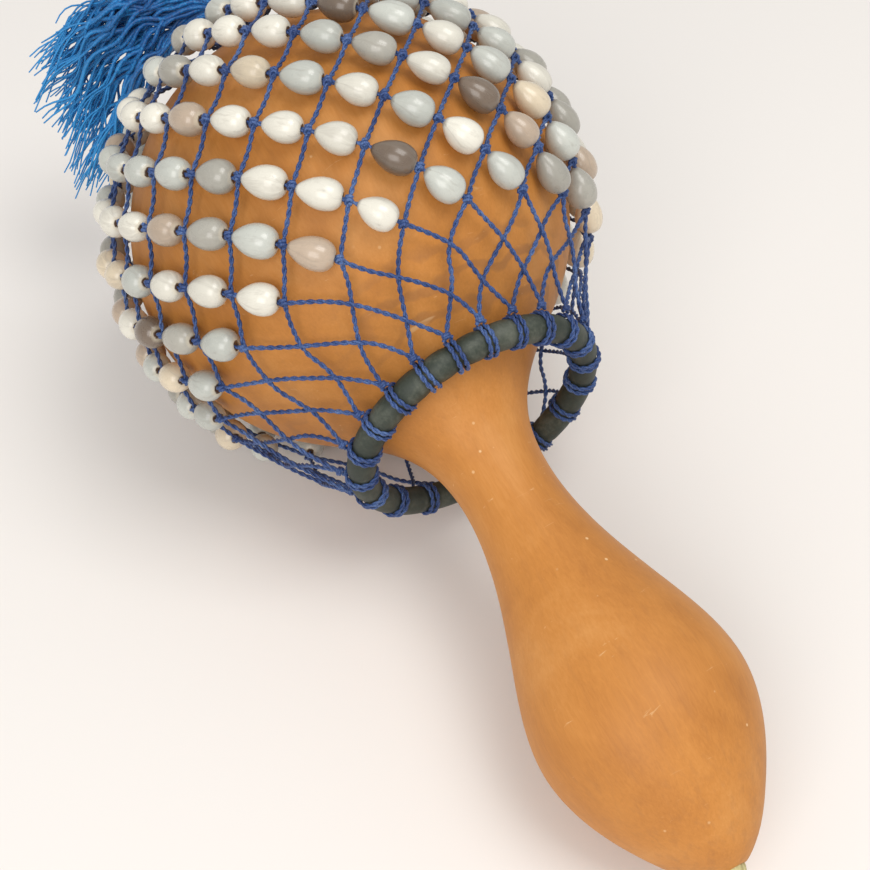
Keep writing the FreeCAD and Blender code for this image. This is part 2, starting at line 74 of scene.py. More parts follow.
class Socket:
    """A shader socket, or a plain number, that can be used in arithmetic."""

    def __init__(self, tree: bpy.types.NodeTree, link: Any) -> None:
        """Wraps an output socket or a number of a node tree."""
        self.tree = tree
        self.link = link

    def _maths(self, operation: str, first: Any, second: Any, clamp: bool = False) -> "Socket":
        """Adds one Math node.

        Args:
            operation: Name of the Math node's operation.
            first: Socket or number for its first input.
            second: Socket or number for its second input.
            clamp: Whether the result is held between 0 and 1.

        Returns:
            The node's result.
        """
        node = self.tree.nodes.new("ShaderNodeMath")
        node.operation = operation
        node.use_clamp = clamp
        for slot, value in zip(node.inputs, (first, second)):
            plug(self.tree, slot, value)
        return Socket(self.tree, node.outputs[0])

    def __add__(self, other: Any) -> "Socket":
        """Sum."""
        return self._maths("ADD", self, other)

    def __radd__(self, other: Any) -> "Socket":
        """Reflected sum."""
        return self._maths("ADD", other, self)

    def __sub__(self, other: Any) -> "Socket":
        """Difference."""
        return self._maths("SUBTRACT", self, other)

    def __rsub__(self, other: Any) -> "Socket":
        """Reflected difference."""
        return self._maths("SUBTRACT", other, self)

    def __mul__(self, other: Any) -> "Socket":
        """Product."""
        return self._maths("MULTIPLY", self, other)

    def __rmul__(self, other: Any) -> "Socket":
        """Reflected product."""
        return self._maths("MULTIPLY", other, self)

    def clamped(self) -> "Socket":
        """The value held between 0 and 1."""
        return self._maths("ADD", self, 0.0, clamp=True)


def plug(tree: bpy.types.NodeTree, slot: Any, value: Any) -> None:
    """Links a socket to an input, or sets the input to a plain value.

    Args:
        tree: The node tree.
        slot: The input socket.
        value: A Socket, a node output, a number, or a tuple.
    """
    if isinstance(value, Socket):
        value = value.link
    if isinstance(value, bpy.types.NodeSocket):
        tree.links.new(value, slot)
    else:
        slot.default_value = value


class Shader:
    """A material under construction."""

    def __init__(self, name: str) -> None:
        """Starts an empty material with a Principled surface.

        Args:
            name: Name of the material.
        """
        self.material = bpy.data.materials.new(name)
        self.material.use_nodes = True
        self.tree = self.material.node_tree
        self.surface = self.tree.nodes["Principled BSDF"]
        self.place = self.node("ShaderNodeTexCoord").outputs["Object"]

    def node(
        self, kind: str, settings: dict[str, Any] | None = None, inputs: dict[Any, Any] | None = None,
    ) -> bpy.types.Node:
        """Adds a node.

        Args:
            kind: The node's type.
            settings: Attributes set first; "ramp" holds a colour ramp's stops.
            inputs: Values or links of its sockets, by name or number.

        Returns:
            The node.
        """
        made = self.tree.nodes.new(kind)
        for name, value in (settings or {}).items():
            if name == "ramp":
                fill_ramp(made.color_ramp, value)
            else:
                setattr(made, name, value)
        for name, value in (inputs or {}).items():
            plug(self.tree, made.inputs[name], value)
        return made

    def scaled(self, scale: Sequence[float], turn: Quaternion | None = None, source: Any = None) -> Any:
        """Object coordinates turned into a frame and scaled along its axes.

        Args:
            scale: Factors along the three axes.
            turn: Rotation into the frame, if any.
            source: Coordinates used in place of the object's own.

        Returns:
            The new coordinates.
        """
        turned = source or self.place
        if turn is not None:
            angles = tuple(turn.to_euler())
            turned = self.node("ShaderNodeMapping", inputs={"Vector": turned, "Rotation": angles}).outputs[0]
        return self.node("ShaderNodeMapping", inputs={"Vector": turned, "Scale": tuple(scale)}).outputs[0]

    def noise(
        self, scale: float, detail: float = 3.0, rough: float = 0.5, vector: Any = None, distort: float = 0.0,
    ) -> Socket:
        """Fractal noise between 0 and 1.

        Args:
            scale: Cells per metre.
            detail: Octaves.
            rough: Share kept by each finer octave.
            vector: Coordinates, or the object's own when left out.
            distort: How far the pattern is warped.

        Returns:
            The noise.
        """
        made = self.node("ShaderNodeTexNoise", inputs={
            "Vector": vector or self.place, "Scale": scale, "Detail": detail,
            "Roughness": rough, "Distortion": distort})
        return Socket(self.tree, made.outputs[0])

    def speckle(self, scale: float, vector: Any = None) -> Socket:
        """Distance to scattered points, 0 at each of them."""
        made = self.node("ShaderNodeTexVoronoi", inputs={"Vector": vector or self.place, "Scale": scale})
        return Socket(self.tree, made.outputs["Distance"])

    def ramp(self, value: Any, *stops: tuple[float, float]) -> Socket:
        """A value reshaped by the stops (position, level).

        Args:
            value: The value.
            stops: Positions and the levels they give.

        Returns:
            The reshaped value.
        """
        colours = [(place, (level, level, level)) for place, level in stops]
        made = self.node("ShaderNodeValToRGB", {"ramp": colours}, {0: value})
        return Socket(self.tree, made.outputs[0])

    def colours(self, value: Any, *stops: tuple[float, tuple[float, float, float]]) -> Any:
        """A colour looked up by a value."""
        return self.node("ShaderNodeValToRGB", {"ramp": stops}, {0: value}).outputs[0]

    def mix(self, share: Any, low: Any, high: Any, blend: str = "MIX") -> Any:
        """Two colours mixed by a share.

        Args:
            share: Share of the second colour.
            low: First colour.
            high: Second colour.
            blend: How they are blended.

        Returns:
            The mixed colour.
        """
        made = self.node("ShaderNodeMix", {"data_type": "RGBA", "blend_type": blend})
        for number, value in ((0, share), (6, low), (7, high)):
            if isinstance(value, tuple) and len(value) == 3:
                value = (*value, 1.0)
            plug(self.tree, made.inputs[number], value)
        return made.outputs[2]

    def attribute(self, name: str) -> bpy.types.Node:
        """A piece's own named attribute."""
        return self.node("ShaderNodeAttribute", {"attribute_name": name})

    def bump(self, height: Any, strength: float, distance: float) -> None:
        """Roughens the surface's normal by a height field.

        Args:
            height: The height field.
            strength: Share of the effect, from 0 to 1.
            distance: Height of 1 in metres.
        """
        made = self.node("ShaderNodeBump", inputs={
            "Height": height, "Strength": strength, "Distance": distance})
        plug(self.tree, self.surface.inputs["Normal"], made.outputs[0])

    def set(self, **values: Any) -> None:
        """Sets or links the surface's sockets, named with underscores for spaces."""
        for name, value in values.items():
            if isinstance(value, tuple) and len(value) == 3:
                value = (*value, 1.0)
            plug(self.tree, self.surface.inputs[SOCKETS[name]], value)


SOCKETS = {
    "color": "Base Color",
    "roughness": "Roughness",
    "coat": "Coat Weight",
    "coat_roughness": "Coat Roughness",
    "sheen": "Sheen Weight",
    "sheen_roughness": "Sheen Roughness",
    "specular": "Specular IOR Level",
}


def fill_ramp(ramp: bpy.types.ColorRamp, stops: Iterable[tuple[float, tuple[float, float, float]]]) -> None:
    """Sets a ramp's stops.

    Args:
        ramp: The ramp.
        stops: Each stop's position and colour.
    """
    stops = list(stops)
    while len(ramp.elements) < len(stops):
        ramp.elements.new(1.0)
    for element, (place, colour) in zip(ramp.elements, stops):
        element.position = place
        element.color = (*colour, 1.0)


# Finishes ---------------------------------------------------------------------------------

@dataclass(frozen=True)
class GourdSkin:
    """Dried, waxed gourd skin: tan orange with mottling, lengthwise grain, flecks and stains."""

    turn: Quaternion
    bulb_centre: Vector
    deep: tuple[float, float, float] = (0.37, 0.130, 0.022)
    middle: tuple[float, float, float] = (0.55, 0.225, 0.048)
    light: tuple[float, float, float] = (0.69, 0.335, 0.105)
    stain: tuple[float, float, float] = (0.30, 0.13, 0.05)
    fleck: tuple[float, float, float] = (0.86, 0.62, 0.34)
    band_start: float = 0.038
    band_scale: float = 20.0
    streak_start: float = 0.165
    streak_scale: float = 18.0

    def material(self) -> bpy.types.Material:
        """Builds the finish.

        Returns:
            Its material.
        """
        made = Shader("gourd_skin")
        turned = made.scaled((1, 1, 1), self.turn)
        mottle = made.noise(26.0, 5.0, 0.58, turned, 0.6)
        broad = made.noise(9.0, 2.0, 0.5, turned)
        grain = made.noise(60.0, 4.0, 0.6, made.scaled((0.16, 1.0, 1.0), source=turned), 0.3)
        fibres = made.noise(1500.0, 3.0, 0.65, made.scaled((0.14, 1.0, 1.0), source=turned), 0.5)
        tone = (mottle * 0.4 + broad * 0.32 + grain * 0.22 + fibres * 0.15).clamped()
        colour = made.colours(tone, (0.36, self.deep), (0.54, self.middle), (0.72, self.light))

        axial = made.node("ShaderNodeSeparateXYZ", inputs={0: turned})
        station = Socket(made.tree, axial.outputs[0])
        wavy = station + (made.noise(30.0, 3.0, 0.6, turned) - 0.5) * 0.016
        past_band = (wavy - self.station(self.band_start)) * self.band_scale
        near_collar = made.ramp(past_band, (0.0, 0.0), (0.12, 1.0), (0.34, 1.0), (0.5, 0.0))
        bands = made.node("ShaderNodeTexWave", {"bands_direction": "X"}, {
            "Vector": turned, "Scale": 46.0, "Distortion": 9.0, "Detail": 3.0, "Detail Scale": 1.1})
        band = made.ramp(Socket(made.tree, bands.outputs[1]), (0.62, 0.0), (0.9, 1.0))
        stain = (band * near_collar * 0.75 * made.ramp(broad, (0.4, 0.2), (0.62, 1.0))).clamped()
        colour = made.mix(stain, colour, self.stain)

        streak = made.noise(420.0, 3.0, 0.6, made.scaled((0.03, 1.0, 1.0), source=turned))
        past_streaks = (station - self.station(self.streak_start)) * self.streak_scale
        near_stem = made.ramp(past_streaks, (0.0, 0.0), (0.8, 1.0))
        streaks = (made.ramp(streak, (0.5, 0.0), (0.74, 1.0)) * (near_stem * 0.22 + 0.12)).clamped()
        colour = made.mix(streaks, colour, self.stain)

        spots = made.ramp(made.speckle(150.0, turned), (0.0, 1.0), (0.045, 1.0), (0.085, 0.0))
        chosen = made.ramp(made.noise(33.0, 1.0, 0.5, turned), (0.56, 0.0), (0.66, 1.0))
        flecks = spots * chosen * 0.75
        colour = made.mix(flecks, colour, self.fleck)

        scuff = made.noise(520.0, 3.0, 0.7, made.scaled((1.0, 0.12, 0.4), source=turned), 0.8)
        scuffs = made.ramp(scuff, (0.68, 0.0), (0.76, 1.0))
        colour = made.mix(scuffs * 0.35, colour, self.fleck)
        roughness = (0.42 + mottle * 0.16 + fibres * 0.08 + scuffs * 0.2 + flecks * 0.2).clamped()
        made.set(color=colour, roughness=roughness, specular=0.32)
        height = grain * 0.3 + mottle * 0.4 + fibres * 0.12 + scuffs * 0.1 - flecks * 0.3 - streaks * 0.1
        made.bump(height, 0.2, 0.0006)
        return made.material

    def station(self, past_centre: float) -> float:
        """Place along the turned axis of a distance past the bulb's centre."""
        return (self.turn @ self.bulb_centre).x + past_centre


@dataclass(frozen=True)
class SeedShell:
    """Hard glossy seed shell: each seed's own tint, fine lengthwise veins, painted shade in the hole at its
    blunt end and a darker tip.
    """

    vein: tuple[float, float, float] = (0.22, 0.19, 0.16)
    # Dark brown: painted shade in the hole at the blunt end, and the pointed tip's own darker colour.
    hole_shade_and_tip: tuple[float, float, float] = (0.10, 0.055, 0.03)
    rim: tuple[float, float, float] = (0.72, 0.64, 0.48)

    def material(self) -> bpy.types.Material:
        """Builds the finish.

        Returns:
            Its material.
        """
        made = Shader("seed_shell")
        tint = made.attribute("tint").outputs["Color"]
        uv = made.node("ShaderNodeUVMap", {"uv_map": "wrap"}).outputs[0]
        along = Socket(made.tree, made.node("ShaderNodeSeparateXYZ", inputs={0: uv}).outputs[1])
        veins = made.noise(1.0, 4.0, 0.65, made.scaled((9.0, 1.3, 1.0), source=uv), 0.6)
        lines = made.ramp(veins, (0.52, 0.0), (0.68, 1.0))
        cloud = made.noise(420.0, 3.0, 0.55)
        colour = made.mix(lines * 0.34, tint, self.vein, "MIX")
        colour = made.mix((cloud - 0.35).clamped() * 0.5, colour, (0.80, 0.78, 0.72), "SOFT_LIGHT")
        rim = made.ramp(along, (0.0, 1.0), (0.09, 1.0), (0.17, 0.0))
        colour = made.mix(rim * 0.5, colour, self.rim)
        # Painted shade: the dimple at the blunt end is darkened as the deep hole would be in shade; the tip's
        # darkening is the seed's own colour.
        hole_shade_and_tip = made.ramp(along, (0.0, 1.0), (0.055, 1.0), (0.075, 0.0))
        tip = made.ramp(along, (0.925, 0.0), (0.945, 1.0))
        colour = made.mix((hole_shade_and_tip + tip * 0.7).clamped(), colour, self.hole_shade_and_tip)
        roughness = (0.2 + cloud * 0.16 + lines * 0.12).clamped()
        made.set(color=colour, roughness=roughness, coat=0.35, coat_roughness=0.12)
        made.bump(veins * 0.6 + cloud * 0.2, 0.10, 0.0003)
        return made.material


@dataclass(frozen=True)
class Yarn:
    """Spun fibre: one hue broken up by fine fibres and patches, with painted shade in the fibres' grooves and
    painted highlight on their ridges.
    """

    name: str
    # dark: painted groove shade; middle: the yarn's own blue; light: painted ridge highlight and the paler
    # strand ends.
    dark: tuple[float, float, float]
    middle: tuple[float, float, float]
    light: tuple[float, float, float]
    fibre_scale: float
    tint_name: str = ""

    def material(self) -> bpy.types.Material:
        """Builds the finish.

        Returns:
            Its material.
        """
        made = Shader(self.name)
        # The fine noise sets both the colour and the bump's height: painted shade where the bump is low,
        # painted highlight where it is high; the patch noise is real tone.
        fine = made.noise(self.fibre_scale, 3.0, 0.65)
        patch = made.noise(120.0, 2.0, 0.5)
        tone = (fine * 0.62 + patch * 0.38).clamped()
        colour = made.colours(tone, (0.30, self.dark), (0.50, self.middle), (0.68, self.light))
        if self.tint_name:
            end = Socket(made.tree, made.attribute(self.tint_name).outputs["Fac"])
            colour = made.mix((end * (0.55 + fine * 0.5)).clamped(), colour, self.light)
        roughness = (0.34 + fine * 0.3).clamped()
        made.set(color=colour, roughness=roughness, sheen=0.12, sheen_roughness=0.4, specular=0.5)
        made.bump(fine, 0.35, 0.0002)
        return made.material


@dataclass(frozen=True)
class HoseRubber:
    """Dark green-grey rubber, dusty and rubbed on its bulges."""

    deep: tuple[float, float, float] = (0.018, 0.026, 0.020)
    middle: tuple[float, float, float] = (0.040, 0.050, 0.038)
    dusty: tuple[float, float, float] = (0.115, 0.125, 0.10)

    def material(self) -> bpy.types.Material:
        """Builds the finish.

        Returns:
            Its material.
        """
        made = Shader("hose_rubber")
        patch = made.noise(90.0, 4.0, 0.6)
        fine = made.noise(900.0, 3.0, 0.6)
        tone = (patch * 0.7 + fine * 0.3).clamped()
        colour = made.colours(tone, (0.36, self.deep), (0.52, self.middle), (0.74, self.dusty))
        made.set(color=colour, roughness=(0.42 + fine * 0.22).clamped(), specular=0.4)
        made.bump(fine * 0.5 + patch, 0.12, 0.0004)
        return made.material


@dataclass(frozen=True)
class DryPlant:
    """Dry plant matter: torn stem, loose seeds and the turned dowel."""

    name: str
    dark: tuple[float, float, float]
    light: tuple[float, float, float]
    roughness: float = 0.75

    def material(self) -> bpy.types.Material:
        """Builds the finish.

        Returns:
            Its material.
        """
        made = Shader(self.name)
        fibres = made.noise(700.0, 4.0, 0.7, made.scaled((0.2, 1.0, 1.0)))
        patch = made.noise(260.0, 2.0, 0.5)
        tone = (fibres * 0.6 + patch * 0.4).clamped()
        colour = made.colours(tone, (0.34, self.dark), (0.66, self.light))
        made.set(color=colour, roughness=(self.roughness + fibres * 0.15).clamped())
        made.bump(fibres, 0.5, 0.0005)
        return made.material


@dataclass(frozen=True)
class Ground:
    """Plain pale ground."""

    colour: tuple[float, float, float] = (0.84, 0.815, 0.79)

    def material(self) -> bpy.types.Material:
        """Builds the finish.

        Returns:
            Its material.
        """
        made = Shader("pale_ground")
        soft = made.noise(3.0, 2.0, 0.5)
        made.set(color=made.mix(soft * 0.06, self.colour, (0.78, 0.76, 0.74)), roughness=0.62, specular=0.2)
        return made.material


# The gourd's frame ------------------------------------------------------------------------

def joint(name: str) -> dict[str, Any]:
    """The CAD joint of a name."""
    return next(entry for entry in frame["joints"] if entry["name"] == name)


@dataclass
class GourdFrame:
    """Where the gourd lies: its bulb's centre and radius, its axis, and its skin."""

    centre: Vector = field(init=False)
    axis: Vector = field(init=False)
    top: Vector = field(init=False)
    side: Vector = field(init=False)
    radius: float = field(init=False)
    skin: BVHTree = field(init=False)

    def __post_init__(self) -> None:
        """Reads the frame off the net's joint and the gourd's node."""
        turning = joint("net_turn")
        self.centre = Vector(turning["pos_m"])
        self.axis = Vector(turning["axis"]).normalized()
        self.side = Vector((0, 1, 0))
        self.top = self.axis.cross(self.side).normalized()
        low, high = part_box("gourd_shell")
        self.radius = (high.y - low.y) / 2
        mesh = frame["nodes"]["gourd_shell"].data
        corners = [vertex.co.copy() for vertex in mesh.vertices]
        self.skin = BVHTree.FromPolygons(corners, [tuple(face.vertices) for face in mesh.polygons])

    def around(self, station: float, radius: float, angle: float) -> Vector:
        """Point at a station, a radius and an angle about the axis.

        Args:
            station: Distance along the axis from the bulb's centre.
            radius: Distance from the axis.
            angle: Angle about the axis, from the top towards +Y.

        Returns:
            The point.
        """
        turn = math.radians(angle)
        outward = self.side * math.sin(turn) + self.top * math.cos(turn)
        return self.centre + self.axis * station + outward * radius

    def polar(self, reach: float, theta: float, angle: float) -> Vector:
        """Point at a reach from the bulb's centre and a polar angle from the handle."""
        turn = math.radians(theta)
        return self.around(reach * math.cos(turn), reach * math.sin(turn), angle)

    def skin_radius(self, station: float) -> float:
        """Radius of the gourd's outside at a station; the bulb is round about the axis.

        Args:
            station: Distance along the axis from the bulb's centre.

        Returns:
            The radius, or 0 past the gourd's end.
        """
        start = self.around(station, 2 * self.radius, 90.0)
        hit = self.skin.ray_cast(start, -self.side)
        return (hit[0] - self.centre - self.axis * station).length if hit[0] else 0.0

    def tip(self) -> float:
        """Station of the gourd's far end, where the stem begins."""
        vertices = frame["nodes"]["gourd_shell"].data.vertices
        return max((vertex.co - self.centre).dot(self.axis) for vertex in vertices)

    def matrix(self) -> Matrix:
        """Placement of a shape drawn with its axis along +X and its top along +Z."""
        turned = Matrix((self.axis, self.side, self.top)).transposed().to_4x4()
        return Matrix.Translation(self.centre) @ turned


def smooth(value: float, low: float, high: float) -> float:
    """Blend from 0 at low to 1 at high."""
    share = min(1.0, max(0.0, (value - low) / (high - low)))
    return share * share * (3 - 2 * share)


# Meshes and curves ------------------------------------------------------------------------

def new_piece(
    name: str, shape: bmesh.types.BMesh | bpy.types.ID, material: bpy.types.Material,
) -> bpy.types.Object:
    """Makes an object of a bmesh or of finished data.

    Args:
        name: The piece's name.
        shape: A bmesh, which is freed, or mesh or curve data.
        material: Its finish.

    Returns:
        The object, at the origin.
    """
    data = shape
    if isinstance(shape, bmesh.types.BMesh):
        data = bpy.data.meshes.new(name)
        shape.to_mesh(data)
        shape.free()
        for face in data.polygons:
            face.use_smooth = True
    data.materials.append(material)
    piece = bpy.data.objects.new(name, data)
    bpy.context.scene.collection.objects.link(piece)
    return piece


def finish_piece(piece: bpy.types.Object, body: str, slot: str, *nodes: str) -> bpy.types.Object:
    """Rides a piece on its body, hides the CAD nodes it stands for, and reports it.

    Args:
        piece: The piece.
        body: The CAD body that carries it.
        slot: Material slot of the record; not used.
        nodes: CAD nodes that it replaces.

    Returns:
        The piece.
    """
    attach(piece, body)
    if nodes:
        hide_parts(*nodes)
    LOG.info("%s rides on %s", piece.name, body)
    return piece


def smoothed(piece: bpy.types.Object, levels: int) -> None:
    """Adds a subdivision surface.

    Args:
        piece: The piece.
        levels: How often its faces are split.
    """
    modifier = piece.modifiers.new("smooth", "SUBSURF")
    modifier.levels = levels
    modifier.render_levels = levels


def spun(outline: Sequence[tuple[float, float]], steps: int) -> bmesh.types.BMesh:
    """Solid of revolution about +X.

    Args:
        outline: Stations and radii; ends on the axis close the shape.
        steps: Number of faces round the axis.

    Returns:
        The closed shape, normals outwards.
    """
    shape = bmesh.new()
    corners = [shape.verts.new((station, 0.0, radius)) for station, radius in outline]
    edges = [shape.edges.new(pair) for pair in zip(corners, corners[1:])]
    bmesh.ops.spin(
        shape, geom=corners + edges, cent=(0, 0, 0), axis=(1, 0, 0), angle=math.tau, steps=steps,
        use_merge=True)
    bmesh.ops.remove_doubles(shape, verts=shape.verts, dist=1e-6)
    bmesh.ops.recalc_face_normals(shape, faces=shape.faces)
    return shape


class Cords:
    """A group of round strands kept in one curve."""

    def __init__(self, name: str, radius: float, resolution: int = 1) -> None:
        """Starts an empty group.

        Args:
            name: Name of the piece.
            radius: Radius of a strand whose points have radius 1.
            resolution: Roundness of the strands.
        """
        self.name = name
        self.curve = bpy.data.curves.new(name, "CURVE")
        self.curve.dimensions = "3D"
        self.curve.bevel_depth = radius
        self.curve.bevel_resolution = resolution
        self.curve.use_fill_caps = True
        self.curve.twist_mode = "MINIMUM"

    def strand(self, points: Sequence[Vector], radii: Sequence[float] | float = 1.0) -> None:
        """Adds a strand through points.

        Args:
            points: Its route.
            radii: Thickness at each point, or one for all.
        """
        spline = self.curve.splines.new("POLY")
        spline.points.add(len(points) - 1)
        for place, point in enumerate(points):
            spline.points[place].co = (*point, 1.0)
            spline.points[place].radius = radii if isinstance(radii, float) else radii[place]

    def piece(self, material: bpy.types.Material) -> bpy.types.Object:
        """Turns the group into a mesh piece.

        Args:
            material: Its finish.

        Returns:
            The piece.
        """
        holder = bpy.data.objects.new(self.name, self.curve)
        bpy.context.scene.collection.objects.link(holder)
        bpy.context.view_layer.update()
        evaluated = holder.evaluated_get(bpy.context.evaluated_depsgraph_get())
        mesh = bpy.data.meshes.new_from_object(evaluated)
        bpy.data.objects.remove(holder)
        mesh.name = self.name
        for face in mesh.polygons:
            face.use_smooth = True
        mesh.materials.clear()
        return new_piece(self.name, mesh, material)


def route(points: Sequence[Vector], resolution: int = 10) -> list[Vector]:
    """Points of the smooth NURBS line that a few control points give.

    Args:
        points: Control points.
        resolution: Points per control point.

    Returns:
        The line's points.
    """
    curve = bpy.data.curves.new("route", "CURVE")
    curve.dimensions = "3D"
    spline = curve.splines.new("NURBS")
    spline.points.add(len(points) - 1)
    for place, point in enumerate(points):
        spline.points[place].co = (*point, 1.0)
    spline.order_u = 3
    spline.use_endpoint_u = True
    spline.resolution_u = resolution
    holder = bpy.data.objects.new("route", curve)
    mesh = bpy.data.meshes.new_from_object(holder)
    line = [vertex.co.copy() for vertex in mesh.vertices]
    bpy.data.objects.remove(holder)
    bpy.data.meshes.remove(mesh)
    bpy.data.curves.remove(curve)
    return line


def respaced(line: Sequence[Vector], step: float) -> list[Vector]:
    """The line's points at even steps along it.

    Args:
        line: The points of a line.
        step: Distance between two points.

    Returns:
        The new points, the last one at the line's end.
    """
    places = [line[0].copy()]
    left = step
    for start, end in zip(line, line[1:]):
        run = (end - start).length
        done = 0.0
        while run - done >= left:
            done += left
            places.append(start.lerp(end, done / run))
            left = step
        left -= run - done
    if (places[-1] - line[-1]).length > step * 0.3:
        places.append(line[-1].copy())
    else:
        places[-1] = line[-1].copy()
    return places


def plies(
    line: Sequence[Vector], offset: float, pitch: float, count: int, phase: float,
) -> list[list[Vector]]:
    """Routes of the plies twisted round a line.

    Args:
        line: Evenly spaced points.
        offset: Distance of each ply from the line.
        pitch: Length of one full turn.
        count: Number of plies.
        phase: Angle at the start, in radians.

    Returns:
        One route for each ply.
    """
    along = (line[1] - line[0]).normalized()
    across = along.orthogonal().normalized()
    routes: list[list[Vector]] = [[] for _ in range(count)]
    travelled = 0.0
    for place, point in enumerate(line):
        if place:
            travelled += (point - line[place - 1]).length
        ahead = line[min(place + 1, len(line) - 1)]
        behind = line[max(place - 1, 0)]
        direction = (ahead - behind).normalized()
        across = (across - direction * across.dot(direction)).normalized()
        upright = direction.cross(across)
        for ply, points in enumerate(routes):
            turn = phase + math.tau * (travelled / pitch + ply / count)
            points.append(point + (across * math.cos(turn) + upright * math.sin(turn)) * offset)
    return routes


# Gourd ------------------------------------------------------------------------------------

@dataclass
class Gourd:
    """The hollow gourd, its torn stem and the seeds inside."""

    lie: GourdFrame
    sides: int = 96
    bulb_steps: int = 30
    neck_step: float = 0.003
    cap_angle: float = 64.0
    sway: float = 0.0011
    lumpiness: float = 0.00035
    stem_length: float = 0.0045

    def build(self) -> None:
        """Makes every piece."""
        self.build_skin()
        self.build_stem()
        seeds = frame["nodes"]["loose_seeds"]
        seeds.data.materials.clear()
        seeds.data.materials.append(DryPlant("dry_seed", (0.36, 0.24, 0.12), (0.68, 0.54, 0.34)).material())
        LOG.info("loose_seeds keeps its CAD shape")

    def outline(self) -> list[tuple[float, float]]:
        """Stations and radii from the bulb's pole to the stem's seat, read off the node.

        Returns:
            The outline's points.
        """
        points = [(-self.lie.radius, 0.0)]
        for step in range(1, self.bulb_steps):
            theta = math.radians(180 - (180 - self.cap_angle) * step / (self.bulb_steps - 1))
            points.append((self.lie.radius * math.cos(theta), self.lie.radius * math.sin(theta)))
        station = points[-1][0]
        tip = self.lie.tip()
        while station < tip - self.neck_step:
            station += self.neck_step
            points.append((station, self.lie.skin_radius(station)))
        seat = self.lie.skin_radius(tip - 0.0004)
        points += [(tip - 0.0004, seat), (tip, seat * 0.8), (tip - 0.0006, seat * 0.5), (tip - 0.0006, 0.0)]
        return points

    def build_skin(self) -> None:
        """Spins the outline and gives it the slight sway and lumps of a grown fruit."""
        shape = spun(self.outline(), self.sides)
        tip = self.lie.tip()
        for vertex in shape.verts:
            station = vertex.co.x
            along = smooth(station, self.lie.radius * 0.9, tip)
            beyond = smooth(station, self.lie.radius, self.lie.radius * 1.4)
            turn = math.atan2(vertex.co.y, vertex.co.z)
            lump = math.sin(2 * turn + station * 31) + 0.6 * math.sin(3 * turn - station * 55 + 1.3)
            depth = self.lumpiness * (lump - 1.6 * (1 - beyond))
            radius = math.hypot(vertex.co.y, vertex.co.z)
            share = 1 + depth / radius if radius > 0.004 else 1.0
            vertex.co.y *= share
            vertex.co.z *= share
            vertex.co.y += self.sway * math.sin(math.pi * along) * beyond
        shape.transform(self.lie.matrix())
        skin = GourdSkin(self.lie.matrix().to_quaternion().inverted(), self.lie.centre)
        piece = new_piece("gourd_skin", shape, skin.material())
        smoothed(piece, 1)
        finish_piece(piece, "gourd", "gourd_skin", "gourd_shell")

    def build_stem(self) -> None:
        """Short torn stump: a ragged ring of fibres round a pale pith."""
        tip = self.lie.tip()
        low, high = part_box("stem_stub")
        reach = (high - low).y / 2
        outline = [
            (tip - 0.0015, 0.0), (tip - 0.0015, reach),
            (tip + 0.0008, reach * 0.9), (tip + 0.0022, reach * 0.74),
            (tip + self.stem_length * 0.78, reach * 0.82), (tip + self.stem_length * 0.9, reach * 0.7),
            (tip + self.stem_length * 0.6, reach * 0.42), (tip + self.stem_length * 0.5, 0.0)]
        shape = spun(outline, 18)
        random.seed(11)
        for vertex in shape.verts:
            torn = smooth(vertex.co.x, tip + 0.0018, tip + self.stem_length * 0.9)
            radius = math.hypot(vertex.co.y, vertex.co.z)
            if radius > 1e-4:
                turn = math.atan2(vertex.co.y, vertex.co.z)
                rib = 1 + 0.10 * math.sin(5 * turn + 0.7)
                vertex.co.y *= rib
                vertex.co.z *= rib
            vertex.co.x += torn * random.uniform(-0.0014, 0.0002)
        shape.transform(self.lie.matrix())
        material = DryPlant("torn_stem", (0.30, 0.24, 0.09), (0.74, 0.70, 0.38)).material()
        piece = new_piece("stem_stump", shape, material)
        smoothed(piece, 1)
        finish_piece(piece, "gourd", "stem", "stem_stub")


# Collar -----------------------------------------------------------------------------------

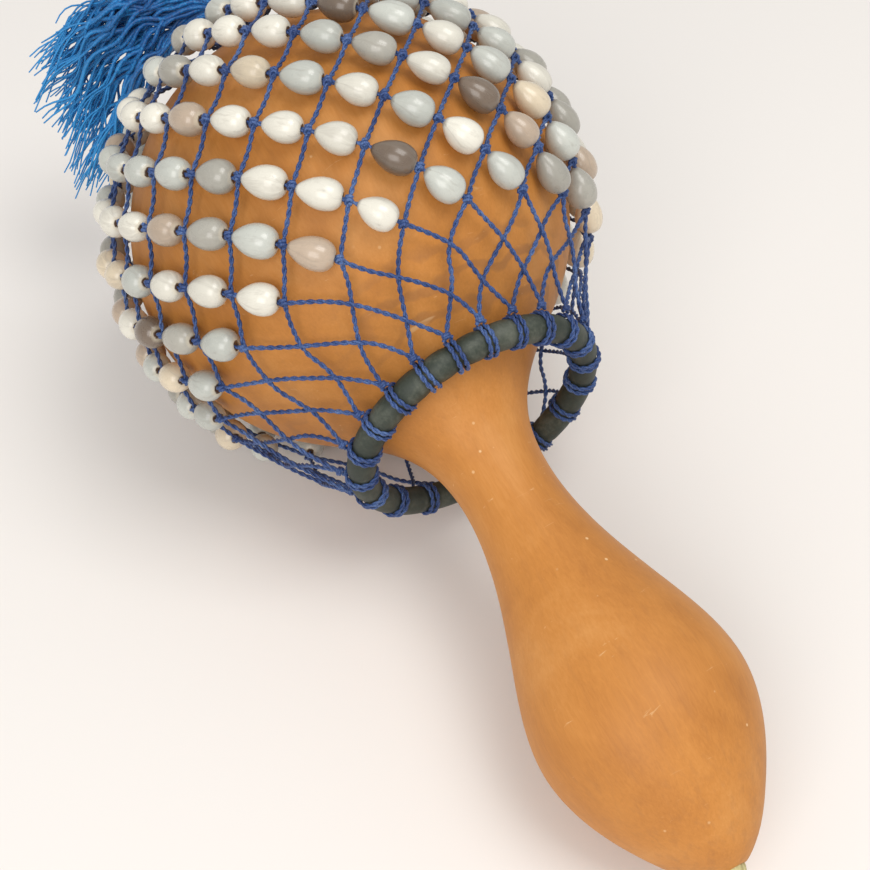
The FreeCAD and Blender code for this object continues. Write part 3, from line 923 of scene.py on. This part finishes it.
@dataclass
class Collar:
    """Ring of bent hose that the net's strings are tied to."""

    lie: GourdFrame
    strings: int = 20
    ring_radius: float = 0.0362
    tube_radius: float = 0.0042
    waist_radius: float = 0.0037
    tilt: float = 8.0
    bunching: float = 12.0
    knot_angle: float = 40.0
    squeeze_angles: tuple[float, float] = (1.2, 5.0)
    sides: int = 14
    steps: int = 180
    centre: Vector = field(init=False)
    normal: Vector = field(init=False)
    up: Vector = field(init=False)

    def __post_init__(self) -> None:
        """Finds the ring's centre and its plane."""
        low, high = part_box("collar_tube")
        self.centre = (low + high) / 2
        turn = math.radians(self.tilt)
        self.normal = self.lie.axis * math.cos(turn) + self.lie.top * math.sin(turn)
        self.up = self.lie.top * math.cos(turn) - self.lie.axis * math.sin(turn)

    def lashing_angle(self, index: int) -> float:
        """Angle of a lashing on the ring, counted from its top towards +Y."""
        even = 360.0 / self.strings * index
        return even - self.bunching * math.sin(math.radians(even))

    def outward(self, angle: float) -> Vector:
        """Direction out of the ring's centre at an angle."""
        turn = math.radians(angle)
        return self.up * math.cos(turn) + self.lie.side * math.sin(turn)

    def place(self, angle: float) -> Vector:
        """Point of the hose's centre line."""
        return self.centre + self.outward(angle) * self.ring_radius

    def tube_at(self, angle: float) -> float:
        """Radius of the hose: full between lashings, squeezed under each of them.

        Args:
            angle: Angle on the ring.

        Returns:
            The radius.
        """
        nearest = min(
            abs((angle - self.lashing_angle(index) + 180) % 360 - 180) for index in range(self.strings))
        bulge = self.tube_radius - self.waist_radius
        return self.waist_radius + bulge * smooth(nearest, *self.squeeze_angles)

    def build(self) -> None:
        """Makes the hose; its dowel keeps its CAD shape."""
        shape = bmesh.new()
        upright = Matrix.Translation((self.ring_radius, 0, 0)) @ Matrix.Rotation(math.pi / 2, 4, "X")
        bmesh.ops.create_circle(shape, segments=self.sides, radius=self.tube_radius, matrix=upright)
        bmesh.ops.spin(
            shape, geom=shape.verts[:] + shape.edges[:], cent=(0, 0, 0), axis=(0, 0, 1), angle=math.tau,
            steps=self.steps, use_merge=True)
        bmesh.ops.remove_doubles(shape, verts=shape.verts, dist=1e-6)
        self.shape_hose(shape)
        bmesh.ops.recalc_face_normals(shape, faces=shape.faces)
        piece = new_piece("collar_hose", shape, HoseRubber().material())
        smoothed(piece, 1)
        finish_piece(piece, "net", "collar_rubber", "collar_tube")
        dowel = frame["nodes"]["collar_dowel"]
        dowel.data.materials.clear()
        dowel.data.materials.append(DryPlant("cut_dowel", (0.34, 0.21, 0.10), (0.60, 0.44, 0.25)).material())
        LOG.info("collar_dowel keeps its CAD shape")

    def shape_hose(self, shape: bmesh.types.BMesh) -> None:
        """Gives the ring its bulges between lashings and sets it in place.

        Args:
            shape: A plain ring about +Z at the origin.
        """
        for vertex in shape.verts:
            angle = math.degrees(math.atan2(vertex.co.y, vertex.co.x))
            radial = (math.hypot(vertex.co.x, vertex.co.y) - self.ring_radius) / self.tube_radius
            axial = vertex.co.z / self.tube_radius
            radius = self.tube_at(angle) * (1 + 0.02 * math.sin(math.radians(angle) * 7))
            around = self.outward(angle) * radial + self.normal * axial
            vertex.co = self.place(angle) + around * radius


# Net --------------------------------------------------------------------------------------

class Tint(Enum):
    """Colours that the seed beads come in, and how often."""

    WHITE = ((0.70, 0.68, 0.60), 30)
    COOL = ((0.50, 0.52, 0.48), 28)
    GREY = ((0.36, 0.35, 0.31), 15)
    CREAM = ((0.68, 0.58, 0.43), 11)
    TAN = ((0.48, 0.38, 0.29), 10)
    BROWN = ((0.16, 0.12, 0.09), 4)


@dataclass
class Net:
    """Twenty strings in a diamond lattice over the bulb, with a bead on every second side."""

    lie: GourdFrame
    collar: Collar
    strings: int = 20
    bead_length: float = 0.0111
    bead_radius: float = 0.00445
    bead_pitch: float = 0.015
    first_row: float = 59.3
    clearance: float = 0.0003
    slide: float = 0.003
    droop: float = 0.0045
    droop_facing: tuple[float, float] = (0.55, 0.93)
    leg_sag: float = 0.003
    sag_facing: tuple[float, float] = (0.35, 0.8)
    crossing_lift: float = 0.0021
    cord_radius: float = 0.00075
    ply_radius: float = 0.00038
    ply_offset: float = 0.00033
    twist_pitch: float = 0.0050
    cord_step: float = 0.00048
    knot_cord: float = 0.00052
    knot_stand_off: float = 0.0022
    knot_width: float = 0.00085
    knot_drift: float = 0.0017
    tie_width: float = 0.0009
    ground_gap: float = 0.0013
    rows: list[float] = field(init=False)
    reach: float = field(init=False)
    centre_height: float = field(init=False)

    def __post_init__(self) -> None:
        """Works out the knot rows."""
        self.centre_height = self.lie.centre.z
        self.reach = math.hypot(self.lie.radius + self.clearance + self.bead_radius, self.bead_pitch / 2)
        self.rows = self.knot_rows()

    def knot_rows(self) -> list[float]:
        """Polar angles of the knot rows, as far as the beads fit side by side.

        Returns:
            The angles in degrees, from the handle's side on.
        """
        step = math.radians(180.0 / self.strings)
        rows = [self.first_row]
        while True:
            sideways = self.reach * math.sin(math.radians(rows[-1])) * step
            onward = math.sqrt(self.bead_pitch ** 2 - sideways ** 2)
            row = rows[-1] + math.degrees(onward / self.reach)
            half = self.reach * math.sin(math.radians((row + rows[-1]) / 2)) * step
            lane = 2 * half * onward / math.hypot(half, onward)
            if lane < 2 * self.bead_radius + self.clearance:
                return rows
            rows.append(row)

    def knot_angle(self, row: int, column: int) -> float:
        """Angle of a knot about the axis."""
        return 360.0 / self.strings * (column - 0.5 + row / 2)

    def knot(self, row: int, column: int) -> Vector:
        """Centre of a knot.

        Args:
            row: Its row, counted from the collar.
            column: The column of the plain leg through it.

        Returns:
            The point.
        """
        away = self.lie.polar(1.0, self.rows[row], self.knot_angle(row, column))
        direction = (away - self.lie.centre).normalized()
        facing_down = -direction.z
        reach = self.reach + self.slide * max(0.0, -direction.dot(self.lie.axis))
        reach += self.droop * smooth(facing_down, *self.droop_facing)
        if facing_down > 0:
            reach = min(reach, (self.centre_height - self.bead_radius) / facing_down)
        return self.lie.centre + direction * reach

    def lashing_knot(self, index: int) -> Vector:
        """Centre of the small knot that closes a lashing.

        Args:
            index: The string's number.

        Returns:
            The point.
        """
        angle = self.collar.lashing_angle(index)
        lean = math.radians(self.collar.knot_angle)
        towards = self.collar.outward(angle) * math.cos(lean) - self.collar.normal * math.sin(lean)
        return self.collar.place(angle) + towards * (self.collar.tube_radius + self.knot_stand_off)

    def leg(self, index: int, column: int, lift: float) -> list[Vector]:
        """Route from a lashing's knot to its knot in the first row, uneven as tied by hand.

        Args:
            index: The string's number.
            column: Column of the first-row knot it goes to.
            lift: How far its middle stands off the skin, to pass over the other legs.

        Returns:
            Control points of the route.
        """
        start = self.lashing_knot(index)
        end = self.knot(0, column)
        points = [start]
        last = self.knot_angle(0, column)
        start_place = start - self.lie.centre
        start_station = start_place.dot(self.lie.axis)
        start_radius = (start_place - self.lie.axis * start_station).length
        sideways, upwards = start_place.dot(self.lie.side), start_place.dot(self.lie.top)
        first_turn = math.degrees(math.atan2(sideways, upwards))
        first = self.collar.lashing_angle(index)
        first += (first_turn - first + 180) % 360 - 180
        end_place = end - self.lie.centre
        end_station = end_place.dot(self.lie.axis)
        end_radius = (end_place - self.lie.axis * end_station).length
        slack = random.uniform(-0.7, 0.7)
        for share in (0.22, 0.42, 0.62, 0.82):
            bow = math.sin(math.tau * share) * slack * 4.5 + random.uniform(-0.8, 0.8)
            point = self.lie.around(
                start_station + (end_station - start_station) * share,
                start_radius + (end_radius - start_radius) * share,
                first + (last - first) * share + bow)
            facing_down = -(point - self.lie.centre).normalized().z
            point.z -= self.leg_sag * smooth(facing_down, *self.sag_facing) * math.sin(math.pi * share)
            points.append(self.rested(point, lift * math.sin(math.pi * share)))
        points.append(end)
        return points

    def rested(self, point: Vector, lift: float) -> Vector:
        """The point, drawn in towards the skin, or kept off it and off the ground.

        Args:
            point: Where the cord would run.
            lift: Extra distance kept from the skin.

        Returns:
            The point moved.
        """
        nearest, normal, _, distance = self.lie.skin.find_nearest(point)
        outside = (point - nearest).dot(normal) > 0
        wanted = self.cord_radius + self.clearance * 2 + lift
        height = distance if outside else -distance
        if height < wanted:
            point = point + normal * (wanted - height)
        elif height > wanted and -(point - self.lie.centre).normalized().z < 0.2:
            point = point - normal * (height - wanted) * 0.35
        point.z = max(point.z, self.ground_gap)
        return point

    def sagged(self, start: Vector, end: Vector) -> Vector:
        """Middle of a plain run, drawn in a little towards the skin.

        Args:
            start: The run's first knot.
            end: Its last knot.

        Returns:
            The middle point.
        """
        middle = (start + end) / 2
        inward = (self.lie.centre - middle).normalized()
        depth = 0.0016 if middle.z > self.centre_height * 0.6 else 0.0004
        return middle + inward * depth

    def build(self) -> None:
        """Makes every string and its beads."""
        cord = Yarn("net_cord", *CORD_BLUES, CORD_FIBRES).material()
        shell = SeedShell().material()
        bead = self.bead_shape()
        for index in range(self.strings):
            random.seed(100 + index)
            self.build_string(index, cord)
            self.build_beads(index, bead, shell)
        bead.free()

    def build_string(self, index: int, material: bpy.types.Material) -> None:
        """Makes one string with its lashing and knots.

        Args:
            index: The string's number.
            material: Its finish.
        """
        cords = Cords(f"cord_{index + 1:02d}", self.ply_radius)
        last = len(self.rows) - 1
        plain = [self.knot(row, index + 2) for row in range(last + 1)]
        controls = self.leg(index, index + 2, 0.0)
        for start, end in zip(plain, plain[1:]):
            controls += [self.sagged(start, end), end]
        controls += self.tail(index + 2, 1)
        self.twisted(cords, controls, random.uniform(0, math.tau))
        self.twisted(cords, self.leg(index, index - 1, self.crossing_lift), random.uniform(0, math.tau))
        self.twisted(cords, [self.knot(last, index - 1 - last)] + self.tail(index - 1 - last, -1), 0.0)
        for row in range(last):
            self.bead_ends(cords, self.knot(row, index - 1 - row), self.knot(row + 1, index - 2 - row))
        for row in range(last + 1):
            self.tie_knot(cords, row, index + 2)
        self.lash(cords, index)
        name = f"net_string_{index + 1:02d}"
        finish_piece(cords.piece(material), "net", "net_cord", name)

    def twisted(self, cords: Cords, controls: Sequence[Vector], phase: float) -> None:
        """Adds two plies twisted along a route.

        Args:
            cords: The group.
            controls: Control points of the route.
            phase: Angle of the first ply at the start, in radians.
        """
        line = respaced(route(controls), self.cord_step)
        for points in plies(line, self.ply_offset, self.twist_pitch, 2, phase):
            cords.strand(points)

    def bead_ends(self, cords: Cords, start: Vector, end: Vector) -> None:
        """Adds the short cords between a bead and the knots at its two ends.

        Args:
            cords: The group.
            start: Knot at the blunt end.
            end: Knot at the pointed end.
        """
        along = (end - start).normalized()
        inside = ((end - start).length - self.bead_length) / 2 + 0.0012
        for knot, direction in ((start, along), (end, -along)):
            line = [knot + direction * (inside * share) for share in (0.0, 0.25, 0.5, 0.75, 1.0)]
            for points in plies(line, self.ply_offset, self.twist_pitch, 2, random.uniform(0, math.tau)):
                cords.strand(points)

    def tie_knot(self, cords: Cords, row: int, column: int) -> None:
        """Adds an overhand knot: two lumpy turns round the crossing of the two cords.

        Args:
            cords: The group.
            row: The knot's row.
            column: Its column.
        """
        centre = self.knot(row, column)
        outward = (centre - self.lie.centre).normalized()
        if row < len(self.rows) - 1:
            along = (self.knot(row + 1, column) - centre).normalized()
        else:
            along = (centre - self.knot(row - 1, column)).normalized()
        across = outward.cross(along).normalized()
        turn_start = random.uniform(0, math.tau)
        points = []
        for step in range(15):
            turn = turn_start + math.tau * step / 7.0
            drift = (step / 14.0 - 0.5) * self.knot_drift
            wide = self.knot_width + 0.0002 * math.sin(turn * 1.5)
            points.append(
                centre + along * (drift + 0.0004 * math.sin(turn))
                + across * (wide * math.cos(turn)) + outward * (wide * math.sin(turn)))
        cords.strand(points, self.knot_cord / self.ply_radius)

    def lash(self, cords: Cords, index: int) -> None:
        """Adds the two turns round the hose and the knot that closes them.

        Args:
            cords: The group.
            index: The string's number.
        """
        angle = self.collar.lashing_angle(index)
        outward = self.collar.outward(angle)
        tangent = self.collar.normal.cross(outward)
        centre = self.collar.place(angle)
        radius = self.collar.waist_radius + self.cord_radius * 0.85
        lean = math.radians(self.collar.knot_angle)
        knot = self.lashing_knot(index)
        for side in (-1, 1):
            line = []
            for step in range(49):
                turn = math.tau * step / 48
                direction = outward * math.cos(turn + lean) - self.collar.normal * math.sin(turn + lean)
                spread = side * (self.cord_radius * (1.08 + 0.25 * math.sin(turn / 2)))
                line.append(centre + direction * radius + tangent * spread)
            for points in plies(line, self.ply_offset, self.twist_pitch, 2, side * 1.1):
                cords.strand(points)
        away = (knot - centre).normalized()
        bridge = [
            knot + tangent * 0.0014 - away * 0.0012, knot + away * 0.0002,
            knot - tangent * 0.0014 - away * 0.0012]
        cords.strand(route(bridge, 6), self.knot_cord * 1.1 / self.ply_radius)
        inward = (centre - knot).normalized()
        points = []
        for step in range(13):
            turn = math.tau * step / 6.0
            points.append(
                knot + inward * (0.0006 - 0.0011 * step / 12) + tangent * (self.tie_width * math.cos(turn))
                + inward.cross(tangent) * (self.tie_width * math.sin(turn)))
        cords.strand(points, self.knot_cord / self.ply_radius)

    def tail(self, column: int, side: int) -> list[Vector]:
        """Control points of a leg's end, over the bulb's back and into the gathered bundle.

        Args:
            column: Column of its last knot.
            side: 1 for a plain leg, -1 for a beaded one.

        Returns:
            The points.
        """
        last = len(self.rows) - 1
        angle = self.knot_angle(last, column) - side * 90.0 / self.strings
        points = []
        for theta, depth in ((158.0, 0.0008), (166.0, 0.0016)):
            reach = self.reach + self.slide - depth - 0.0012
            lean = side * 180.0 / self.strings * (180 - theta) / 60
            points.append(self.lie.polar(reach, theta, angle + lean))
        back = self.lie.radius + self.slide
        squeeze = 0.55 + 0.45 * (column % 3) / 2
        points.append(self.lie.around(-back - 0.0018, 0.0088, angle))
        points.append(self.lie.around(-back - 0.0050, 0.0060 * squeeze + 0.0004, angle + 12))
        points.append(self.lie.around(-back - 0.0092, 0.0050 * squeeze, angle + 24))
        points.append(self.lie.around(-back - 0.0152, 0.0046 * squeeze, angle + 36))
        return points

    def bead_shape(self) -> bmesh.types.BMesh:
        """A drop-shaped bead of a few dozen faces along +X, dimpled at its blunt end.

        Returns:
            The shape.
        """
        length = self.bead_length
        radius = self.bead_radius
        outline = [
            (0.05 * length, 0.0), (0.02 * length, 0.15 * radius), (-0.01 * length, 0.27 * radius),
            (0.03 * length, 0.62 * radius), (0.14 * length, 0.92 * radius), (0.33 * length, 1.05 * radius),
            (0.55 * length, 1.02 * radius), (0.78 * length, 0.74 * radius), (0.95 * length, 0.36 * radius),
            (1.01 * length, 0.14 * radius), (0.985 * length, 0.0)]
        return spun([(station - length / 2, r) for station, r in outline], 10)

    def build_beads(self, index: int, bead: bmesh.types.BMesh, material: bpy.types.Material) -> None:
        """Makes the beads of one string, each its own size, turn and tint.

        Args:
            index: The string's number.
            bead: The plain bead.
            material: Their finish.
        """
        name = f"bead_string_{index + 1:02d}"
        source = bpy.data.meshes.new("bead")
        bead.to_mesh(source)
        shape = bmesh.new()
        tint = shape.verts.layers.float_color.new("tint")
        wrap = shape.loops.layers.uv.new("wrap")
        tints = [option.value[0] for option in Tint for _ in range(option.value[1])]
        for row in range(len(self.rows) - 1):
            start = self.knot(row, index - 1 - row)
            end = self.knot(row + 1, index - 2 - row)
            before = len(shape.verts)
            faces_before = len(shape.faces)
            shape.from_mesh(source)
            shape.verts.ensure_lookup_table()
            shape.faces.ensure_lookup_table()
            fresh = shape.verts[before:]
            self.dress_bead(shape.faces[faces_before:], wrap)
            size = random.uniform(0.99, 1.15)
            plump = random.uniform(0.98, 1.10)
            colour = random.choice(tints)
            shade = random.uniform(0.86, 1.1)
            shaded = tuple(min(0.85, part * shade) for part in colour)
            for vertex in fresh:
                vertex[tint] = (*shaded, 1.0)
            direction = (end - start).normalized()
            wobble = Vector([random.uniform(-0.05, 0.05) for _ in range(3)])
            aim = (direction + wobble).normalized().to_track_quat("X", "Z")
            spin = Matrix.Rotation(random.uniform(0, math.tau), 4, "X")
            size_matrix = Matrix.Diagonal((size, plump, plump * random.uniform(0.95, 1.0), 1.0))
            slip = direction * random.uniform(-0.0003, 0.0003)
            middle = Matrix.Translation((start + end) / 2 + slip)
            place = middle @ aim.to_matrix().to_4x4() @ spin @ size_matrix
            bmesh.ops.transform(shape, matrix=place, verts=fresh)
        bpy.data.meshes.remove(source)
        piece = new_piece(f"beads_{index + 1:02d}", shape, material)
        smoothed(piece, 1)
        finish_piece(piece, "net", "seed_bead", name)

    def dress_bead(self, faces: Sequence[bmesh.types.BMFace], wrap: Any) -> None:
        """Unwraps a bead drawn along +X: u round it, v along it from its blunt end.

        Args:
            faces: The bead's faces.
            wrap: The UV layer.
        """
        for face in faces:
            middle = face.calc_center_median()
            face_turn = math.atan2(middle.y, middle.z) / math.tau
            for loop in face.loops:
                place = loop.vert.co
                radius = math.hypot(place.y, place.z)
                turn = math.atan2(place.y, place.z) / math.tau if radius > 1e-6 else face_turn
                turn = face_turn + (turn - face_turn + 0.5) % 1.0 - 0.5
                along = place.x / self.bead_length + 0.5 + 0.25 * radius / self.bead_radius
                loop[wrap].uv = (turn, 0.9 * along)


# Tassel -----------------------------------------------------------------------------------

@dataclass
class Tassel:
    """Gathered cord ends: whipping, knot and the frayed strands that droop from it."""

    lie: GourdFrame
    strands: int = 76
    fibres: int = 3
    strand_radius: float = 0.00072
    knot_radius: float = 0.0055
    binding_turns: int = 3
    binding_radius: float = 0.00665
    binding_pitch: float = 0.0016
    droop_direction: tuple[float, float, float] = (-0.08, -0.82, -0.56)
    fan_direction: tuple[float, float, float] = (0.71, -0.07, -0.70)
    fan_spread: float = 0.40
    fan_lean: float = 0.09
    strand_wander: float = 0.0028
    crimp: float = 0.0012
    fray: float = 0.0045
    faded_span: tuple[float, float] = (0.026, 0.060)
    pivot: Vector = field(init=False)
    droop: Vector = field(init=False)
    spread: Vector = field(init=False)
    thickness: Vector = field(init=False)

    def __post_init__(self) -> None:
        """Reads the pivot off its joint and sets the fan's directions."""
        self.pivot = Vector(joint("tassel_sway")["pos_m"])
        turned = self.lie.matrix().to_3x3()
        self.droop = (turned @ Vector(self.droop_direction)).normalized()
        fan = turned @ Vector(self.fan_direction)
        self.thickness = self.droop.cross(fan).normalized()
        self.spread = self.droop.cross(self.thickness)

    def build(self) -> None:
        """Makes every piece."""
        cord = Yarn("binding_cord", *CORD_BLUES, CORD_FIBRES).material()
        yarn = Yarn("tassel_yarn", *YARN_BLUES, YARN_FIBRES, "end").material()
        self.build_bundle(cord)
        self.build_binding(cord)
        self.build_knot(yarn)
        self.build_strands(yarn)

    def build_bundle(self, material: bpy.types.Material) -> None:
        """Core of the bundle under the gathered cords, twisted from thick plies.

        Args:
            material: Its finish.
        """
        low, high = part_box("gather_binding")
        middle = (low + high) / 2
        station = (middle - self.lie.centre).dot(self.lie.axis)
        cords = Cords("gathered_ends", 0.0011)
        for place in range(14):
            angle = 360.0 / 14 * place
            controls = [
                self.lie.around(station + 0.0100, 0.0042, angle - 30),
                self.lie.around(station + 0.0050, 0.0040, angle - 12),
                self.lie.around(station, 0.0038, angle),
                self.lie.around(station - 0.0040, 0.0042, angle + 14),
                self.lie.around(station - 0.0080, 0.0036, angle + 26)]
            cords.strand(route(controls, 5))
        finish_piece(cords.piece(material), "net", "net_cord", "cord_bundle")

    def build_binding(self, material: bpy.types.Material) -> None:
        """Whipping of three turns.

        Args:
            material: Its finish.
        """
        low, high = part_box("gather_binding")
        station = ((low + high) / 2 - self.lie.centre).dot(self.lie.axis)
        line = []
        steps = 40 * self.binding_turns
        for step in range(steps + 1):
            share = step / steps - 0.5
            wander = 0.00015 * math.sin(step * 0.41)
            line.append(self.lie.around(
                station + share * self.binding_pitch * self.binding_turns + wander,
                self.binding_radius - 0.0004, 360.0 * self.binding_turns * share))
        cords = Cords("gather_whipping", 0.00043)
        for points in plies(line, 0.00037, 0.0030, 2, 0.4):
            cords.strand(points)
        finish_piece(cords.piece(material), "net_carrier", "net_cord", "gather_binding")

    def build_knot(self, material: bpy.types.Material) -> None:
        """Ball of looped ends.

        Args:
            material: Its finish.
        """
        cords = Cords("tassel_ball", 0.0011)
        random.seed(5)
        for loop in range(11):
            axis = Vector([random.uniform(-1, 1) for _ in range(3)]).normalized()
            across = axis.orthogonal().normalized()
            upright = axis.cross(across)
            reach = self.knot_radius - 0.0013 - 0.00012 * (loop % 4)
            ring = []
            for step in range(25):
                turn = math.tau * step / 24
                lift = axis * (0.0012 * math.sin(2 * turn + loop))
                ring.append(self.pivot + (across * math.cos(turn) + upright * math.sin(turn)) * reach + lift)
            cords.strand(ring)
        piece = cords.piece(material)
        self.mark_ends(piece, lambda place: 0.0)
        finish_piece(piece, "tassel_root", "tassel_yarn", "tassel_knot")

    def mark_ends(self, piece: bpy.types.Object, level: Any) -> None:
        """Stores how near each point is to a strand's faded end.

        Args:
            piece: The piece.
            level: Gives a point's nearness, from 0 to 1.
        """
        marks = piece.data.attributes.new("end", "FLOAT", "POINT")
        for vertex, mark in zip(piece.data.vertices, marks.data):
            mark.value = level(vertex.co)

    def build_strands(self, material: bpy.types.Material) -> None:
        """Frayed cord ends: out from the knot, over to one side and down, each splitting at its tip.

        Args:
            material: Its finish.
        """
        cords = Cords("tassel_fringe", self.strand_radius, 1)
        random.seed(23)
        for strand in range(self.strands):
            fan = -1.0 + 2.0 * (strand + random.uniform(-0.8, 0.8)) / self.strands
            length = random.uniform(0.059, 0.067) - 0.008 * fan
            line = self.strand_route(fan, random.gauss(0.0, 0.55), length)
            whole = int(len(line) * random.uniform(0.62, 0.86))
            cords.strand(line[:whole + 1], 1.0)
            for _ in range(self.fibres):
                cords.strand(*self.frayed(line[whole:]))
        piece = cords.piece(material)
        self.mark_ends(piece, lambda place: smooth((place - self.pivot).length, *self.faded_span))
        finish_piece(piece, "tassel", "tassel_yarn", "tassel_strands")

    def strand_route(self, fan: float, side: float, length: float) -> list[Vector]:
        """Points of one strand.

        Args:
            fan: Where it lies in the fan, from -1 at the low edge to 1 at the high edge.
            side: How far it strays across the fan.
            length: Its length.

        Returns:
            The points.
        """
        out = -self.lie.axis
        start = self.pivot + out * 0.003 + self.spread * (0.0022 * fan) + self.thickness * (0.0016 * side)
        sideways = self.spread * (self.fan_spread * fan + self.fan_lean)
        aim = (self.droop + sideways + self.thickness * (0.16 * side)).normalized()
        arch = (out * 0.45 + Vector((0, -0.2, 0.55))).normalized()
        controls = [start, start + out * 0.005 + aim * 0.003]
        for share, bulge in ((0.20, 0.0068), (0.40, 0.0082), (0.60, 0.0064), (0.80, 0.0020), (1.0, -0.0035)):
            stray = Vector([random.uniform(-self.strand_wander, self.strand_wander) for _ in range(3)])
            controls.append(start + aim * (length * share) + arch * bulge + stray)
        line = route(controls, 6)
        turn = random.uniform(0, math.tau)
        tightness = random.uniform(0.55, 0.95)
        for place, point in enumerate(line):
            crimp = self.crimp * smooth(place / len(line), 0.1, 0.5)
            phase = turn + tightness * place
            point += (self.spread * math.cos(phase) + self.thickness * math.sin(phase)) * crimp
        return line

    def frayed(self, line: Sequence[Vector]) -> tuple[list[Vector], list[float]]:
        """One thin fibre bundle that leaves a strand's end.

        Args:
            line: The last stretch of the strand.

        Returns:
            Its points and their thickness.
        """
        stray = Vector([random.uniform(-self.fray, self.fray) for _ in range(3)])
        last = max(1, len(line) - 1)
        points = []
        for place, point in enumerate(line):
            share = place / last
            wave = Vector((math.sin(3.1 * share + stray.x * 900), math.cos(2.3 * share + stray.y * 900), 0))
            points.append(point + stray * share ** 1.4 + wave * 0.0011 * share)
        return points, [0.62 - 0.30 * place / last for place in range(len(line))]


# Stage ------------------------------------------------------------------------------------

@dataclass
class Stage:
    """Ground, lights and camera."""

    lie: GourdFrame
    lens: float = 70.34
    camera_offset: Vector = field(default_factory=lambda: Vector((0.3331, -0.1604, 0.3456)))
    camera_forward: Vector = field(default_factory=lambda: Vector((-0.5597, 0.3168, -0.7658)))
    key_offset: Vector = field(default_factory=lambda: Vector((0.35, 0.25, 1.2)))
    key_size: float = 0.7
    key_power: float = 7.2
    fill_offset: Vector = field(default_factory=lambda: Vector((0.75, -0.75, 0.75)))
    fill_size: float = 0.8
    fill_power: float = 7.0
    room_strength: float = 0.6

    def build(self) -> None:
        """Sets the scene."""
        self.build_ground()
        self.build_camera()
        self.light("key", self.key_offset, self.key_size, self.key_power, (1.0, 0.985, 0.955))
        self.light("fill", self.fill_offset, self.fill_size, self.fill_power, (1.0, 0.97, 0.95))
        world = bpy.data.worlds.new("soft_room")
        world.use_nodes = True
        backdrop = world.node_tree.nodes["Background"]
        backdrop.inputs[0].default_value = (1.0, 0.985, 0.965, 1.0)
        backdrop.inputs[1].default_value = self.room_strength
        bpy.context.scene.world = world
        bpy.context.scene.view_settings.view_transform = "Standard"

    def build_ground(self) -> None:
        """Lays a wide pale ground at height zero."""
        shape = bmesh.new()
        bmesh.ops.create_grid(shape, x_segments=2, y_segments=2, size=4.0)
        ground = new_piece("ground", shape, Ground().material())

    def build_camera(self) -> None:
        """Stands the camera over the handle's side, level from left to right."""
        camera = bpy.data.objects.new("camera", bpy.data.cameras.new("camera"))
        camera.data.lens = self.lens
        camera.data.sensor_width = 36.0
        camera.data.clip_start = 0.01
        camera.location = self.lie.centre + self.camera_offset
        camera.rotation_euler = self.camera_forward.to_track_quat("-Z", "Y").to_euler()
        bpy.context.scene.collection.objects.link(camera)
        bpy.context.scene.camera = camera

    def light(
        self, name: str, offset: Vector, size: float, power: float, colour: tuple[float, float, float],
    ) -> None:
        """Adds a square area light aimed at the bulb.

        Args:
            name: Its name.
            offset: Its place from the bulb's centre.
            size: Length of its side.
            power: Watts.
            colour: Its tint.
        """
        data = bpy.data.lights.new(name, "AREA")
        data.size = size
        data.energy = power
        data.color = colour
        lamp = bpy.data.objects.new(name, data)
        lamp.location = self.lie.centre + offset
        lamp.rotation_euler = (-offset).to_track_quat("-Z", "Y").to_euler()
        bpy.context.scene.collection.objects.link(lamp)


def main() -> None:
    """Builds the rattle's looks and its stage."""
    logging.basicConfig(level=logging.INFO, format="%(name)s: %(message)s")
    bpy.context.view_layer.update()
    lie = GourdFrame()
    Gourd(lie).build()
    collar = Collar(lie)
    collar.build()
    Net(lie, collar).build()
    Tassel(lie).build()
    Stage(lie).build()


if __name__ == "__main__":
    main()
